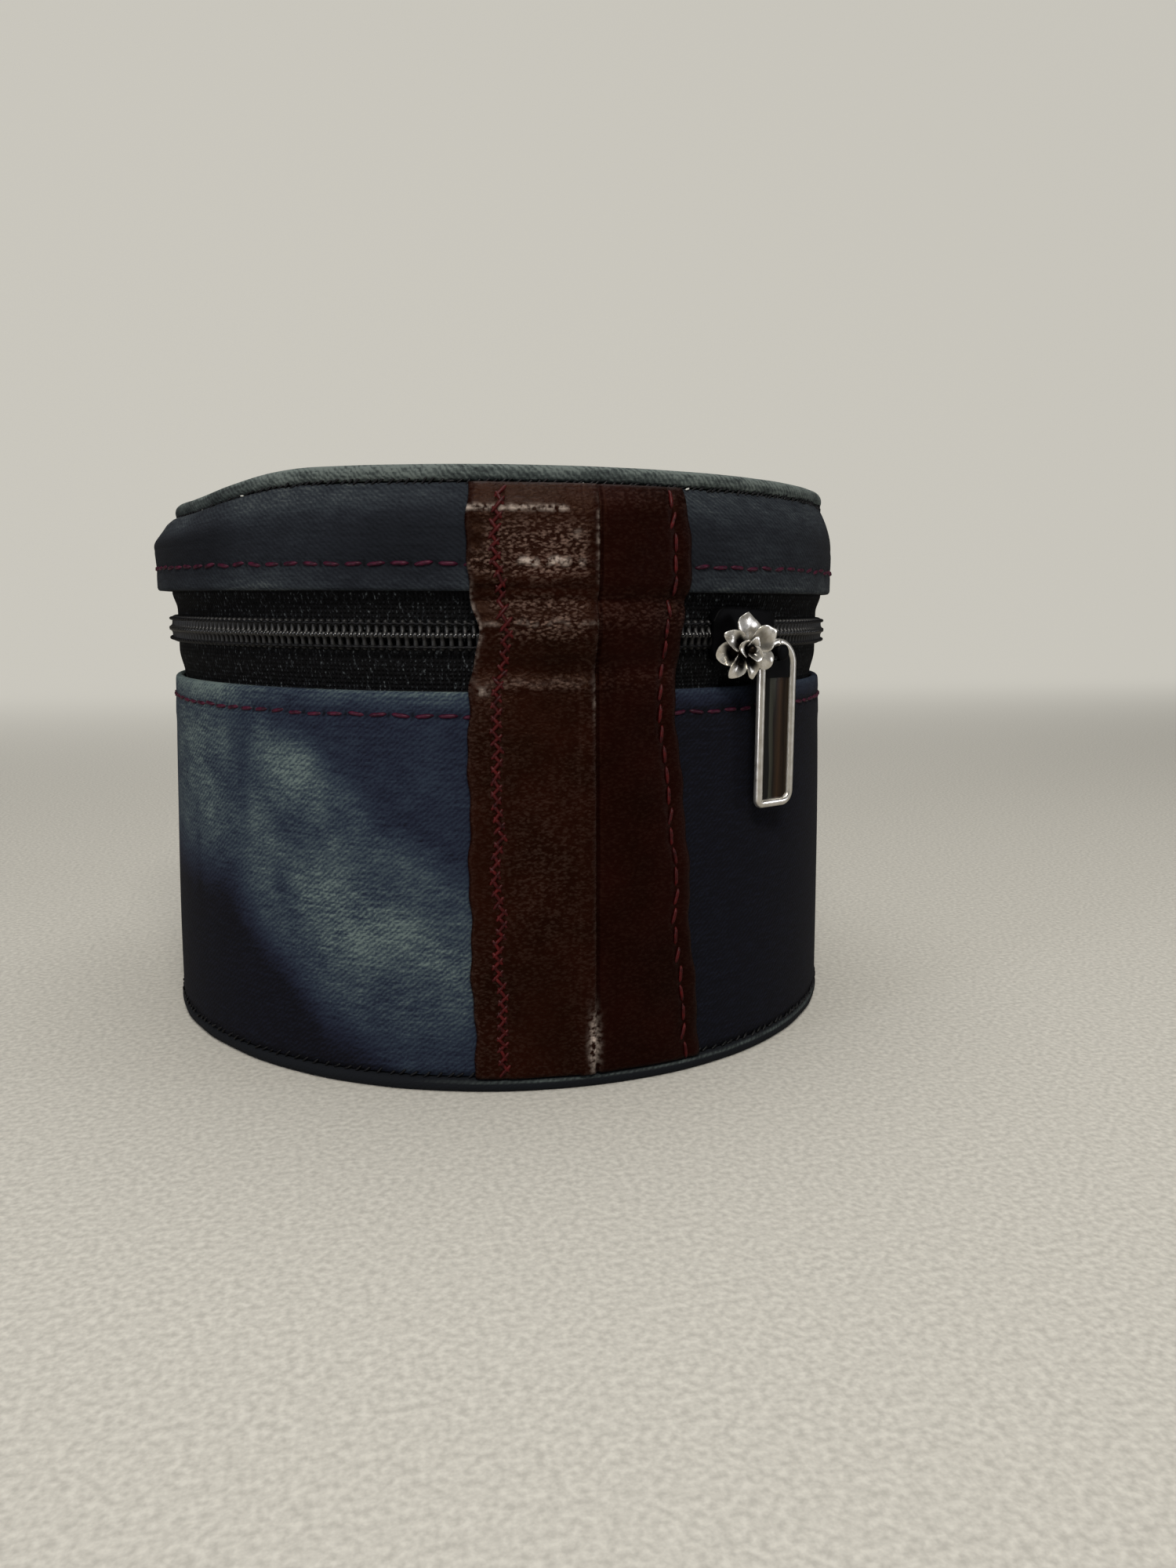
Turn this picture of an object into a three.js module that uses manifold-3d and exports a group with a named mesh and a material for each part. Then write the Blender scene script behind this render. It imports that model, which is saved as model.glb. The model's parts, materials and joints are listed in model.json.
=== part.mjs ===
// Round jewelry case: denim walls over board, a coil zip round the middle, and a leather
// strap down the back that is also the lid's hinge.
// Millimetres, +Z up. The origin is the centre of the underside, and the strap is at -Y.
// Angles run round the drum from the strap (-Y) towards +X, anticlockwise from above.

import * as THREE from 'three';
import { mergeVertices } from 'three/addons/utils/BufferGeometryUtils.js';
import Module from 'manifold-3d';

const wasm = await Module();
wasm.setup();

// Clearances
const layerGap = 0.3; // between layers that lie on each other
const discGap = 0.2; // between a disc's board and its pressed denim cover
const slideGap = 0.3; // round the coil inside the slider

// Body wall
const hemTopZ = 75;
const hemRadius = 75;
const footSpread = 1.6; // how far the wall spreads on its way down to the foot
const denimThickness = 0.8;
const hemDepth = 9;
const wallRoom = 2.2; // between the denim and the board, for the wadding
const boardThickness = 2;
const boardBelowHem = 1.7;
const liningThickness = 0.6;

// Discs, top and bottom
const discDenim = 0.6;
const discBoard = 1.0;
const baseRimReach = 0.9; // how far the base disc stands out past the foot
const baseTurnIn = 4.5;
const topRimReach = 0.6; // how far the top disc stands out past the wall under it
const topTurnIn = 3.6;
const rimRounding = 0.5;

// Zip
const chainAboveHem = 10.1;
const chainInset = 0.9; // from the hem's outer face in to the tapes under the coil
const tapeThickness = 0.6;
const tapeWidth = 16;
const tapeMeetGap = 0.3;
const lowerBulge = 5.5; // height over which the lower tape comes out of its hem
const upperBulge = 3.9; // height over which the upper tape goes out to its hem
const coilThickness = 1.6;
const coilHalfHeight = 2.8;
const toothPitch = 1.65;
const toothHalfHeight = 1.1;
const toothGap = 0.7; // along the height; the slanted flanks are 0.25 apart
const teethPerChord = 6;
const zipTuck = 3.9; // how far the zip runs on under the strap
const freeTape = 21; // tape and coil left of the strap that twist as the lid opens
const freeTapePastSlider = 2; // and right of it, from the slider's tail at rest
const tapeEndGap = 0.6;

// Lid wall
const edgeAboveChain = 7.9;
const lidOverhang = 2; // how far the lid's wall stands out past the hem
const lidHemDepth = 9;
const shoulderRise = 10; // from the lid's edge up to where the wall starts to draw in
const seamRise = 19.2; // from the lid's edge up to the top seam
const crownDraw = 3.1; // how far the wall is drawn in at the top seam
const crownPower = 1.8; // how suddenly it bends in
const lidBoardThickness = 2;
const lidBoardAboveEdge = 1.5;
const liningTurnUp = 5;
const paddingBelowSeam = 1.7;

// Padded discs of the inside
const padThickness = 4;
const padCrown = 1.2;
const padEdgeRounding = 1.6;

// Strap, as distances round the wall from its middle
const strapHalf = 20.6;
const leatherThickness = 1.2;
const leatherEdge = 0.95; // thickness at the cut edges
const edgeBevel = 1; // width over which the leather thins to its edge
const skivedThickness = 0.55;
const lappedThickness = 0.8;
const lapWidth = 2.5;
const lapRamp = 0.7;
const strapSeam = 2.4;
const hingeGap = 0.3; // between the hinge stretch of the leather and its neighbours
const leatherBelowHem = 0.5;
const leatherAboveEdge = 0.4;
const hingeSink = 1.0; // how far the middle of the leather sinks into the zip gap
const sinkMargin = 1.2; // from where the sinking ends to the end of the zip
const hingeLiningPast = 2.2; // how far the strip inside reaches past the strap

// Slider, as distances along the zip from the flower's middle, the nose being negative
const sliderFromStrap = 7.7;
const sliderNose = -5;
const sliderTail = 12.6;
const sliderShoulder = -2;
const sliderNoseHalf = 3.9;
const sliderShoulderHalf = 5.2;
const sliderTailHalf = 4.6;
const sliderPlate = 1.0;
const flangeWidth = 0.7;
const flangeGap = 0.45; // from the flanges to the tapes
const plateBevelDepth = 0.35;
const plateBevelWidth = 0.5;
const backPlateGap = 0.4; // from the back plate to the tapes
const backPlateInset = 0.4; // how much lower than the front plate it is on each side

// Flower
const flowerRadius = 6.9;
const flowerDrop = 2.7; // from the chain's middle down to the flower's
const stemRadius = 3.4;
const stemHeight = 2.9;
const outerPetals = 5;
const outerPetalRadius = 3.1;
const outerPetalLift = 1.0;
const innerPetals = 3;
const innerPetalRadius = 1.9;
const innerPetalReach = 1.7;
const innerPetalLift = 2.0;
const petalThickness = 1.1;
const outerPetalTilt = 28; // degrees
const innerPetalTilt = 52;
const budRadius = 1.2;
const budLift = 2.6;

// Peg of the slider and the pull that hangs on it
const pegOffset = 10.9;
const pegDrop = 3.5; // from the chain's middle down to the peg
const pegRadius = 0.85;
const pegRoot = 0.6; // how deep the peg is sunk into the plate
const pegHeadRadius = 1.6;
const pegHeadHeight = 0.7;
const pegHeadBevel = 0.3;
const pullGap = 1.3; // from the slider's plate to the pull
const pullPlay = 0.4; // from the pull to the peg's head
const pullThickness = 1.6;
const pullWidth = 10.7;
const pullTopAbovePeg = 2.7;
const pullLength = 33.4;
const pullCornerRadius = 3;
const pullRim = 1.5;
const pullRecess = 0.55;
const pullEyePlay = 0.25;
const pullEyeDrop = 0.65; // how much longer than round the eye is, downwards
const pullEyeBridge = 1.4;

// Facets
const fullTurn = 360;
const ringSides = 40;
const facetAngle = fullTurn / ringSides;
const roundShare = 1 - Math.SQRT1_2; // of its radius, halfway round a folded edge

// Radii that follow, from the hem's
const footRadius = hemRadius + footSpread;
const baseRimRadius = footRadius + baseRimReach;
const boardOuter = hemRadius - denimThickness - wallRoom;
const boardInner = boardOuter - boardThickness;
const liningOuter = boardInner - layerGap;
const liningInner = liningOuter - liningThickness;
const lidRadius = hemRadius + lidOverhang;
const crownRadius = lidRadius - crownDraw;
const topRimRadius = crownRadius + topRimReach;
const lidBoardOuter = crownRadius - denimThickness - layerGap;
const lidBoardInner = lidBoardOuter - lidBoardThickness;
const lidLiningOuter = lidBoardInner - layerGap;
const lidLiningInner = lidLiningOuter - liningThickness;
const hemTapeRadius = hemRadius - 2 * denimThickness - layerGap;
const lidTapeRadius = lidRadius - 2 * denimThickness - layerGap;
const chainTapeRadius = hemRadius - chainInset;
const coilInner = chainTapeRadius + layerGap;
const coilOuter = coilInner + coilThickness;
const plateInner = coilOuter + slideGap;
const plateOuter = plateInner + sliderPlate;
const backPlateOuter = chainTapeRadius - tapeThickness - backPlateGap;
const backPlateInner = backPlateOuter - sliderPlate;
const strapRadius = (hemRadius + lidRadius) / 2 + layerGap;

// Heights that follow, from the foot up
const discBoardTop = discDenim + discGap + discBoard;
const rimHeight = discBoardTop + discGap + discDenim;
const wallFootZ = rimHeight + layerGap;
const boardFootZ = discBoardTop + layerGap;
const boardTopZ = hemTopZ - boardBelowHem;
const liningTopZ = boardTopZ + layerGap + liningThickness;
const chainZ = hemTopZ + chainAboveHem;
const flowerZ = chainZ - flowerDrop;
const pegZ = chainZ - pegDrop;
const lidEdgeZ = chainZ + edgeAboveChain;
const lidBoardFootZ = lidEdgeZ + lidBoardAboveEdge;
const lidLiningFootZ = lidBoardFootZ - layerGap - liningThickness;
const lidShoulderZ = lidEdgeZ + shoulderRise;
const topSeamZ = lidEdgeZ + seamRise;
const lidWallTopZ = topSeamZ - layerGap;
const lidPaddingTop = topSeamZ - paddingBelowSeam;

// The strap's edges, as shares of its half width, from the top seam down to the foot
const strapOutline = [
  { z: topSeamZ, left: 1, right: 0.97 },
  { z: lidEdgeZ, left: 1, right: 1.005 },
  { z: chainZ, left: 0.9, right: 0.935 },
  { z: hemTopZ, left: 1.015, right: 0.92 },
  { z: hemTopZ / 2, left: 1.01, right: 1.07 },
  { z: 0, left: 0.97, right: 1.215 },
];

// Places round the drum that follow, in mm or degrees from the strap's middle
const zipEndArc = strapEdge(chainZ, 'left') - zipTuck;
const sinkReach = zipEndArc - sinkMargin;
const zipEnd = degreesAlong(zipEndArc, strapRadius);
const rightEdgeAngle = degreesAlong(strapEdge(chainZ, 'right'), strapRadius);
const leftEdgeAngle = degreesAlong(strapEdge(chainZ, 'left'), strapRadius);
const freeTapeLeft = leftEdgeAngle + degreesAlong(freeTape, chainTapeRadius);
const endGap = degreesAlong(tapeEndGap, chainTapeRadius);
const sliderAngle = rightEdgeAngle + degreesAlong(sliderFromStrap - sliderNose, plateOuter);
const freeTapeRight = sliderAngle + degreesAlong(sliderTail + freeTapePastSlider, plateOuter);
const pegTurn = degreesAlong(pegOffset, plateOuter);
const pegAside = plateOuter * Math.sin(THREE.MathUtils.degToRad(pegTurn));
const pegDepth = plateOuter * Math.cos(THREE.MathUtils.degToRad(pegTurn));
const hingeLiningOuter = backPlateInner - slideGap;

// Materials
const denim = finish(0x2b323c, 0.9, 0);
const fadedDenim = finish(0x434b50, 0.9, 0);
const board = finish(0x9a8a70, 0.95, 0);
const wadding = finish(0xd8d4ca, 1, 0);
const lining = finish(0x17181c, 0.85, 0);
const tapeCloth = finish(0x0d0d0f, 0.95, 0);
const nylon = finish(0x141415, 0.45, 0);
const leather = finish(0x32150f, 0.42, 0);
const nickel = finish(0xc8c4b8, 0.22, 1);
const enamel = finish(0x101012, 0.4, 0);

function finish(color, roughness, metalness) {
  return new THREE.MeshStandardMaterial({ color, roughness, metalness });
}

function degreesAlong(arc, radius) {
  return THREE.MathUtils.radToDeg(arc / radius);
}

// A point at an angle round the drum, a radius and a height.
function drumPoint(angle, radius, z) {
  const a = THREE.MathUtils.degToRad(angle);
  return new THREE.Vector3(radius * Math.sin(a), -radius * Math.cos(a), z);
}

// Joins the corners of a shape, drops flat triangles and turns its faces outwards.
function closedBody(source) {
  const bare = new THREE.BufferGeometry();
  bare.setAttribute('position', source.getAttribute('position').clone());
  if (source.index) {
    bare.setIndex(source.index.clone());
  }
  const merged = mergeVertices(bare, 1e-4);
  const position = merged.getAttribute('position');
  const kept = [];
  const [a, b, c] = [new THREE.Vector3(), new THREE.Vector3(), new THREE.Vector3()];
  let volume = 0;
  for (let i = 0; i < merged.index.count; i += 3) {
    const corner = [0, 1, 2].map((k) => merged.index.getX(i + k));
    if (new Set(corner).size === 3) {
      kept.push(corner);
      a.fromBufferAttribute(position, corner[0]);
      b.fromBufferAttribute(position, corner[1]);
      c.fromBufferAttribute(position, corner[2]);
      volume += a.dot(b.cross(c)) / 6;
    }
  }
  const turned = volume < 0 ? kept.map(([p, q, r]) => [p, r, q]) : kept;
  merged.setIndex(turned.flat());
  return merged;
}

// A closed profile of [radius, z] points turned round the drum's axis.
function revolve(profile) {
  const points = profile.map(([radius, z]) => new THREE.Vector2(radius, z));
  const onAxis = points[0].x === 0 && points[points.length - 1].x === 0;
  if (!onAxis) {
    points.push(points[0].clone());
  }
  return closedBody(new THREE.LatheGeometry(points, ringSides).rotateX(Math.PI / 2));
}

// Triangles that fill a flat outline, wound the way the outline runs.
function fillOutline(outline) {
  const clockwise = THREE.ShapeUtils.isClockWise(outline);
  return THREE.ShapeUtils.triangulateShape(outline, []).map(([p, q, r]) => {
    const turned = THREE.ShapeUtils.isClockWise([outline[p], outline[q], outline[r]]);
    return turned === clockwise ? [p, q, r] : [p, r, q];
  });
}

// Rings of corners joined side by side, with both ends closed by the given flat outline.
function loft(rings, outline) {
  const count = outline.length;
  const positions = rings.flat().flatMap((p) => [p.x, p.y, p.z]);
  const index = [];
  for (let i = 0; i + 1 < rings.length; i += 1) {
    for (let k = 0; k < count; k += 1) {
      const here = i * count + k;
      const next = i * count + ((k + 1) % count);
      index.push(here, next, here + count, next, next + count, here + count);
    }
  }
  const last = (rings.length - 1) * count;
  for (const [p, q, r] of fillOutline(outline)) {
    index.push(p, r, q, last + p, last + q, last + r);
  }
  const geometry = new THREE.BufferGeometry();
  geometry.setAttribute('position', new THREE.Float32BufferAttribute(positions, 3));
  geometry.setIndex(index);
  return closedBody(geometry);
}

// A closed profile of [radius, z] points carried round part of the drum.
function partRevolve(profile, from, to) {
  const steps = Math.max(2, Math.round((to - from) / facetAngle));
  const angles = Array.from({ length: steps + 1 }, (_, i) => from + ((to - from) * i) / steps);
  const rings = angles.map((angle) => profile.map(([r, z]) => drumPoint(angle, r, z)));
  return loft(rings, profile.map(([r, z]) => new THREE.Vector2(r, z)));
}

function toManifold(geometry) {
  const solid = closedBody(geometry);
  return new wasm.Manifold(new wasm.Mesh({
    numProp: 3,
    vertProperties: new Float32Array(solid.getAttribute('position').array),
    triVerts: new Uint32Array(solid.index.array),
  }));
}

function fromManifold(solid) {
  const mesh = solid.getMesh();
  const geometry = new THREE.BufferGeometry();
  geometry.setAttribute('position', new THREE.Float32BufferAttribute(mesh.vertProperties, 3));
  geometry.setIndex(Array.from(mesh.triVerts));
  return closedBody(geometry);
}

function piece(name, geometry, material) {
  const mesh = new THREE.Mesh(geometry, material);
  mesh.name = name;
  return mesh;
}

function smooth(x) {
  return THREE.MathUtils.smoothstep(x, 0, 1);
}

// Outer face of the denim on the body, which spreads a little towards the foot.
function bodyRadius(z) {
  return hemRadius + (footRadius - hemRadius) * (1 - (z / hemTopZ) ** 2);
}

// Outer face of the denim on the lid, upright and then drawn in to the top seam.
function lidWallRadius(z) {
  const rise = Math.max(0, (z - lidShoulderZ) / (topSeamZ - lidShoulderZ));
  return lidRadius - (lidRadius - crownRadius) * rise ** crownPower;
}

// Outer face of a tape: behind its hem at one radius, then out or in to the chain.
function tapeRadius(z) {
  const out = smooth((z - hemTopZ) / lowerBulge);
  const up = smooth((z - (lidEdgeZ - upperBulge)) / upperBulge);
  const lower = hemTapeRadius + (chainTapeRadius - hemTapeRadius) * out;
  const upper = chainTapeRadius + (lidTapeRadius - chainTapeRadius) * up;
  return z < chainZ ? lower : upper;
}

// A sheet of even thickness between heights, its outer face given by a function of z.
function sheetProfile(outerRadius, thickness, heights) {
  const outside = heights.map((z) => [outerRadius(z), z]);
  const inside = heights.map((z) => [outerRadius(z) - thickness, z]).reverse();
  return [...outside, ...inside];
}

// A denim wall with its free edge turned in: folded from foot to top for the body.
function bodyDenim() {
  const foldStart = hemTopZ - denimThickness;
  const foldCorner = denimThickness * roundShare;
  const turnEnd = hemTopZ - hemDepth;
  const fold = 2 * denimThickness;
  const third = hemTopZ / 3;
  return revolve([
    [bodyRadius(wallFootZ), wallFootZ],
    [bodyRadius(third), third],
    [bodyRadius(2 * third), 2 * third],
    [hemRadius, foldStart],
    [hemRadius - foldCorner, hemTopZ - foldCorner],
    [hemRadius - denimThickness, hemTopZ],
    [hemRadius - fold, foldStart],
    [bodyRadius(turnEnd) - fold, turnEnd],
    [bodyRadius(turnEnd) - denimThickness, turnEnd],
    [bodyRadius(third) - denimThickness, third],
    [bodyRadius(wallFootZ) - denimThickness, wallFootZ],
  ]);
}

function bodyPadding() {
  const inner = boardOuter + layerGap;
  const cover = (z) => bodyRadius(z) - denimThickness - layerGap;
  const top = hemTopZ - hemDepth - layerGap;
  const third = hemTopZ / 3;
  return revolve([
    [inner, wallFootZ],
    [cover(wallFootZ), wallFootZ],
    [cover(third), third],
    [cover(top), top],
    [inner, top],
  ]);
}

function bodyBoard() {
  return revolve(sheetProfile(() => boardOuter, boardThickness, [boardFootZ, boardTopZ]));
}

// The wall lining, with its edge turned out over the board.
function bodyLining() {
  return revolve([
    [liningInner, boardFootZ],
    [liningOuter, boardFootZ],
    [liningOuter, boardTopZ + layerGap],
    [boardOuter, boardTopZ + layerGap],
    [boardOuter, liningTopZ],
    [liningInner, liningTopZ],
  ]);
}

// A disc cover that wraps the rim and is turned in on the side of the wall.
// up is 1 where the turned edge is above the flat face and -1 where it is below.
function discCover(faceZ, up, rimRadius, turnIn) {
  const height = (h) => faceZ + up * h;
  return revolve([
    [0, height(0)],
    [rimRadius - rimRounding, height(0)],
    [rimRadius, height(rimRounding)],
    [rimRadius, height(rimHeight)],
    [rimRadius - turnIn, height(rimHeight)],
    [rimRadius - turnIn, height(rimHeight - discDenim)],
    [rimRadius - discDenim, height(rimHeight - discDenim)],
    [rimRadius - discDenim, height(discDenim)],
    [0, height(discDenim)],
  ]);
}

function disc(radius, from, to) {
  return revolve([
    [0, from],
    [radius, from],
    [radius, to],
    [0, to],
  ]);
}

// A padded disc with a soft round edge and a crowned face; up is 1 or -1.
function pad(radius, seatZ, up) {
  const height = (h) => seatZ + up * h;
  return revolve([
    [0, height(0)],
    [radius, height(0)],
    [radius, height(padThickness - padEdgeRounding)],
    [radius - padEdgeRounding, height(padThickness)],
    [radius / 2, height(padThickness + (padCrown * 3) / 4)],
    [0, height(padThickness + padCrown)],
  ]);
}

function lidDenim() {
  const fold = 2 * denimThickness;
  const foldStart = lidEdgeZ + denimThickness;
  const foldCorner = denimThickness * roundShare;
  const turnEnd = lidEdgeZ + lidHemDepth;
  const bends = thirds(lidShoulderZ, lidWallTopZ - lidShoulderZ);
  return revolve([
    [lidRadius - denimThickness, lidEdgeZ],
    [lidRadius - foldCorner, lidEdgeZ + foldCorner],
    [lidRadius, foldStart],
    ...sheetProfile(lidWallRadius, denimThickness, bends),
    [lidRadius - denimThickness, turnEnd],
    [lidRadius - fold, turnEnd],
    [lidRadius - fold, foldStart],
  ]);
}

function lidPadding() {
  const inner = lidBoardOuter + layerGap;
  const cover = (z) => lidWallRadius(z) - denimThickness - layerGap;
  const tapeTop = chainZ + tapeMeetGap / 2 + tapeWidth;
  const foot = Math.max(lidEdgeZ + lidHemDepth, tapeTop) + layerGap;
  const middle = (foot + lidPaddingTop) / 2;
  return revolve([
    [inner, foot],
    [cover(foot), foot],
    [cover(middle), middle],
    [cover(lidPaddingTop), lidPaddingTop],
    [inner, lidPaddingTop],
  ]);
}

function lidBoard() {
  const heights = [lidBoardFootZ, lidWallTopZ];
  return revolve(sheetProfile(() => lidBoardOuter, lidBoardThickness, heights));
}

// The lid's lining, turned round the foot of its board and up the outside.
function lidLining() {
  const turnInner = lidBoardOuter + layerGap;
  const turnOuter = turnInner + liningThickness;
  const flangeTop = lidLiningFootZ + liningThickness;
  return revolve([
    [lidLiningInner, lidLiningFootZ],
    [turnOuter, lidLiningFootZ],
    [turnOuter, lidLiningFootZ + liningTurnUp],
    [turnInner, lidLiningFootZ + liningTurnUp],
    [turnInner, flangeTop],
    [lidLiningOuter, flangeTop],
    [lidLiningOuter, lidWallTopZ],
    [lidLiningInner, lidWallTopZ],
  ]);
}

// The heights at which a bend over a given rise is cut into thirds.
function thirds(from, rise) {
  return [0, 1, 2, 3].map((k) => from + (rise * k) / 3);
}

function lowerTape() {
  const top = chainZ - tapeMeetGap / 2;
  const heights = [top - tapeWidth, ...thirds(hemTopZ, lowerBulge), top];
  const profile = sheetProfile(tapeRadius, tapeThickness, heights);
  return partRevolve(profile, zipEnd, fullTurn - zipEnd);
}

function upperTape(from, to) {
  const foot = chainZ + tapeMeetGap / 2;
  const heights = [foot, ...thirds(lidEdgeZ - upperBulge, upperBulge), foot + tapeWidth];
  return partRevolve(sheetProfile(tapeRadius, tapeThickness, heights), from, to);
}

// One row of the coil: a back strip with pointed teeth that mesh with the other row's.
// side is -1 for the row below the chain's middle and 1 for the row above it.
// Both rows share one wave, so they mesh wherever they run.
function coilRow(side, from, to) {
  const pitchAngle = degreesAlong(toothPitch, coilOuter);
  const halfPitches = 2 * Math.floor((to - from) / pitchAngle);
  const edgeZ = chainZ + (side * toothGap) / 2;
  const backZ = chainZ + side * coilHalfHeight;
  const first = Math.ceil((2 * from) / pitchAngle);
  const angleAt = (i) => ((first + i) * pitchAngle) / 2;
  const tipAt = (i) => edgeZ + ((first + i) % 2 === 0 ? toothHalfHeight : -toothHalfHeight);
  const positions = [];
  const index = [];
  const corner = (i, z, radius) => {
    positions.push(...drumPoint(angleAt(i), radius, z).toArray());
    return positions.length / 3 - 1;
  };
  const chord = 2 * teethPerChord;
  for (let start = 0; start < halfPitches; start += chord) {
    const end = Math.min(start + chord, halfPitches);
    const edge = Array.from({ length: end - start + 1 }, (_, k) => [start + k, tipAt(start + k)]);
    const outline = [[start, backZ], ...edge, [end, backZ]];
    const flat = outline.map(([i, z]) => new THREE.Vector2((i * toothPitch) / 2, z));
    const outer = outline.map(([i, z]) => corner(i, z, coilOuter));
    const inner = outline.map(([i, z]) => corner(i, z, coilInner));
    for (const [p, q, r] of fillOutline(flat)) {
      index.push(outer[p], outer[q], outer[r], inner[p], inner[r], inner[q]);
    }
    const walls = outline.map((_, k) => [k, (k + 1) % outline.length]);
    const isFirst = start === 0;
    const isLast = end === halfPitches;
    const inside = (k) => (k === 0 && !isFirst) || (k === outline.length - 2 && !isLast);
    for (const [k, next] of walls.filter(([k]) => !inside(k))) {
      index.push(outer[next], outer[k], inner[k], outer[next], inner[k], inner[next]);
    }
  }
  const geometry = new THREE.BufferGeometry();
  geometry.setAttribute('position', new THREE.Float32BufferAttribute(positions, 3));
  geometry.setIndex(index);
  return closedBody(geometry);
}

// The strap's edge at a height, as a distance from its middle.
function strapEdge(z, side) {
  const above = strapOutline.findIndex((station, i) => i > 0 && station.z <= z);
  const [high, low] = [strapOutline[above - 1], strapOutline[above]];
  const share = smooth((z - low.z) / (high.z - low.z));
  return strapHalf * THREE.MathUtils.lerp(low[side], high[side], share);
}

// What the leather lies on: the body's denim, the zip gap and then the lid's denim.
// From the hem to the lid the leather spans the gap and sinks in its middle.
function leatherSeat(z, s) {
  if (z <= hemTopZ - leatherBelowHem) {
    return bodyRadius(z) + layerGap;
  }
  if (z >= lidEdgeZ + leatherAboveEdge) {
    return lidWallRadius(z) + layerGap;
  }
  const share = (z - hemTopZ) / (lidEdgeZ - hemTopZ);
  const across = 1 - Math.min(1, Math.abs(s) / sinkReach) ** 2;
  const sink = hingeSink * Math.sin(Math.PI * THREE.MathUtils.clamp(share, 0, 1)) * across;
  return THREE.MathUtils.lerp(hemRadius, lidRadius, share) + layerGap - sink;
}

// The left piece ends in a lip that rides over the right piece's thinned edge.
function leftLeatherSection(z) {
  const left = -strapEdge(z, 'left');
  const rampStart = strapSeam - lapWidth - layerGap - lapRamp;
  const rise = skivedThickness + layerGap;
  return [
    { s: left, lift: 0, thick: leatherEdge },
    { s: left + edgeBevel, lift: 0, thick: leatherThickness },
    { s: -sinkReach, lift: 0, thick: leatherThickness },
    { s: -sinkReach / 2, lift: 0, thick: leatherThickness },
    { s: rampStart, lift: 0, thick: leatherThickness },
    { s: rampStart + lapRamp, lift: rise, thick: lappedThickness },
    { s: strapSeam, lift: rise, thick: lappedThickness },
  ];
}

function rightLeatherSection(z) {
  const right = strapEdge(z, 'right');
  return [
    { s: strapSeam - lapWidth, lift: 0, thick: skivedThickness },
    { s: strapSeam + layerGap, lift: 0, thick: skivedThickness },
    { s: strapSeam + layerGap + lapRamp, lift: 0, thick: leatherThickness },
    { s: sinkReach / 2 + lapRamp, lift: 0, thick: leatherThickness },
    { s: sinkReach, lift: 0, thick: leatherThickness },
    { s: right - edgeBevel, lift: 0, thick: leatherThickness },
    { s: right, lift: 0, thick: leatherEdge },
  ];
}

// A stretch of one leather piece between two heights.
function leatherStretch(section, from, to, steps) {
  const heights = Array.from({ length: steps + 1 }, (_, i) => from + ((to - from) * i) / steps);
  const ring = (z) => {
    const across = section(z);
    const at = ({ s, lift, thick }, outer) => {
      const radius = leatherSeat(z, s) + lift + (outer ? thick : 0);
      return [degreesAlong(s, strapRadius), radius];
    };
    const outside = across.map((p) => at(p, true));
    const inside = across.map((p) => at(p, false)).reverse();
    return [...outside, ...inside];
  };
  const rings = heights.map((z) => ring(z).map(([angle, radius]) => drumPoint(angle, radius, z)));
  const outline = rings[0].map((p) => new THREE.Vector2(p.x, p.y));
  return loft(rings, outline);
}

// The strip inside that backs the leather between the two linings.
function hingeLining() {
  const reach = degreesAlong(strapHalf + hingeLiningPast, strapRadius);
  const foot = liningTopZ + layerGap;
  const top = lidLiningFootZ - layerGap;
  const profile = sheetProfile(() => hingeLiningOuter, liningThickness, [foot, top]);
  return partRevolve(profile, -reach, reach);
}

// Half the slider's height at a distance along it: narrow nose, shoulders, slimmer tail.
function sliderHalf(x) {
  if (x < sliderShoulder) {
    const share = (x - sliderNose) / (sliderShoulder - sliderNose);
    return THREE.MathUtils.lerp(sliderNoseHalf, sliderShoulderHalf, Math.sin((share * Math.PI) / 2));
  }
  const share = (x - sliderShoulder) / (sliderTail - sliderShoulder);
  return THREE.MathUtils.lerp(sliderShoulderHalf, sliderTailHalf, smooth(share));
}

function sliderStations() {
  const between = (from, to, k, steps) => THREE.MathUtils.lerp(from, to, k / steps);
  const noseSteps = [0, 1].map((k) => between(sliderNose, sliderShoulder, k, 2));
  const tailSteps = [0, 1, 2, 3].map((k) => between(sliderShoulder, sliderTail, k, 3));
  return [...noseSteps, ...tailSteps];
}

function sliderPlateLoft(sectionAt) {
  const rings = sliderStations().map((x) => {
    const angle = degreesAlong(x, plateOuter);
    return sectionAt(x).map(([radius, z]) => drumPoint(angle, radius, z));
  });
  return loft(rings, sectionAt(0).map(([radius, z]) => new THREE.Vector2(radius, z)));
}

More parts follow.
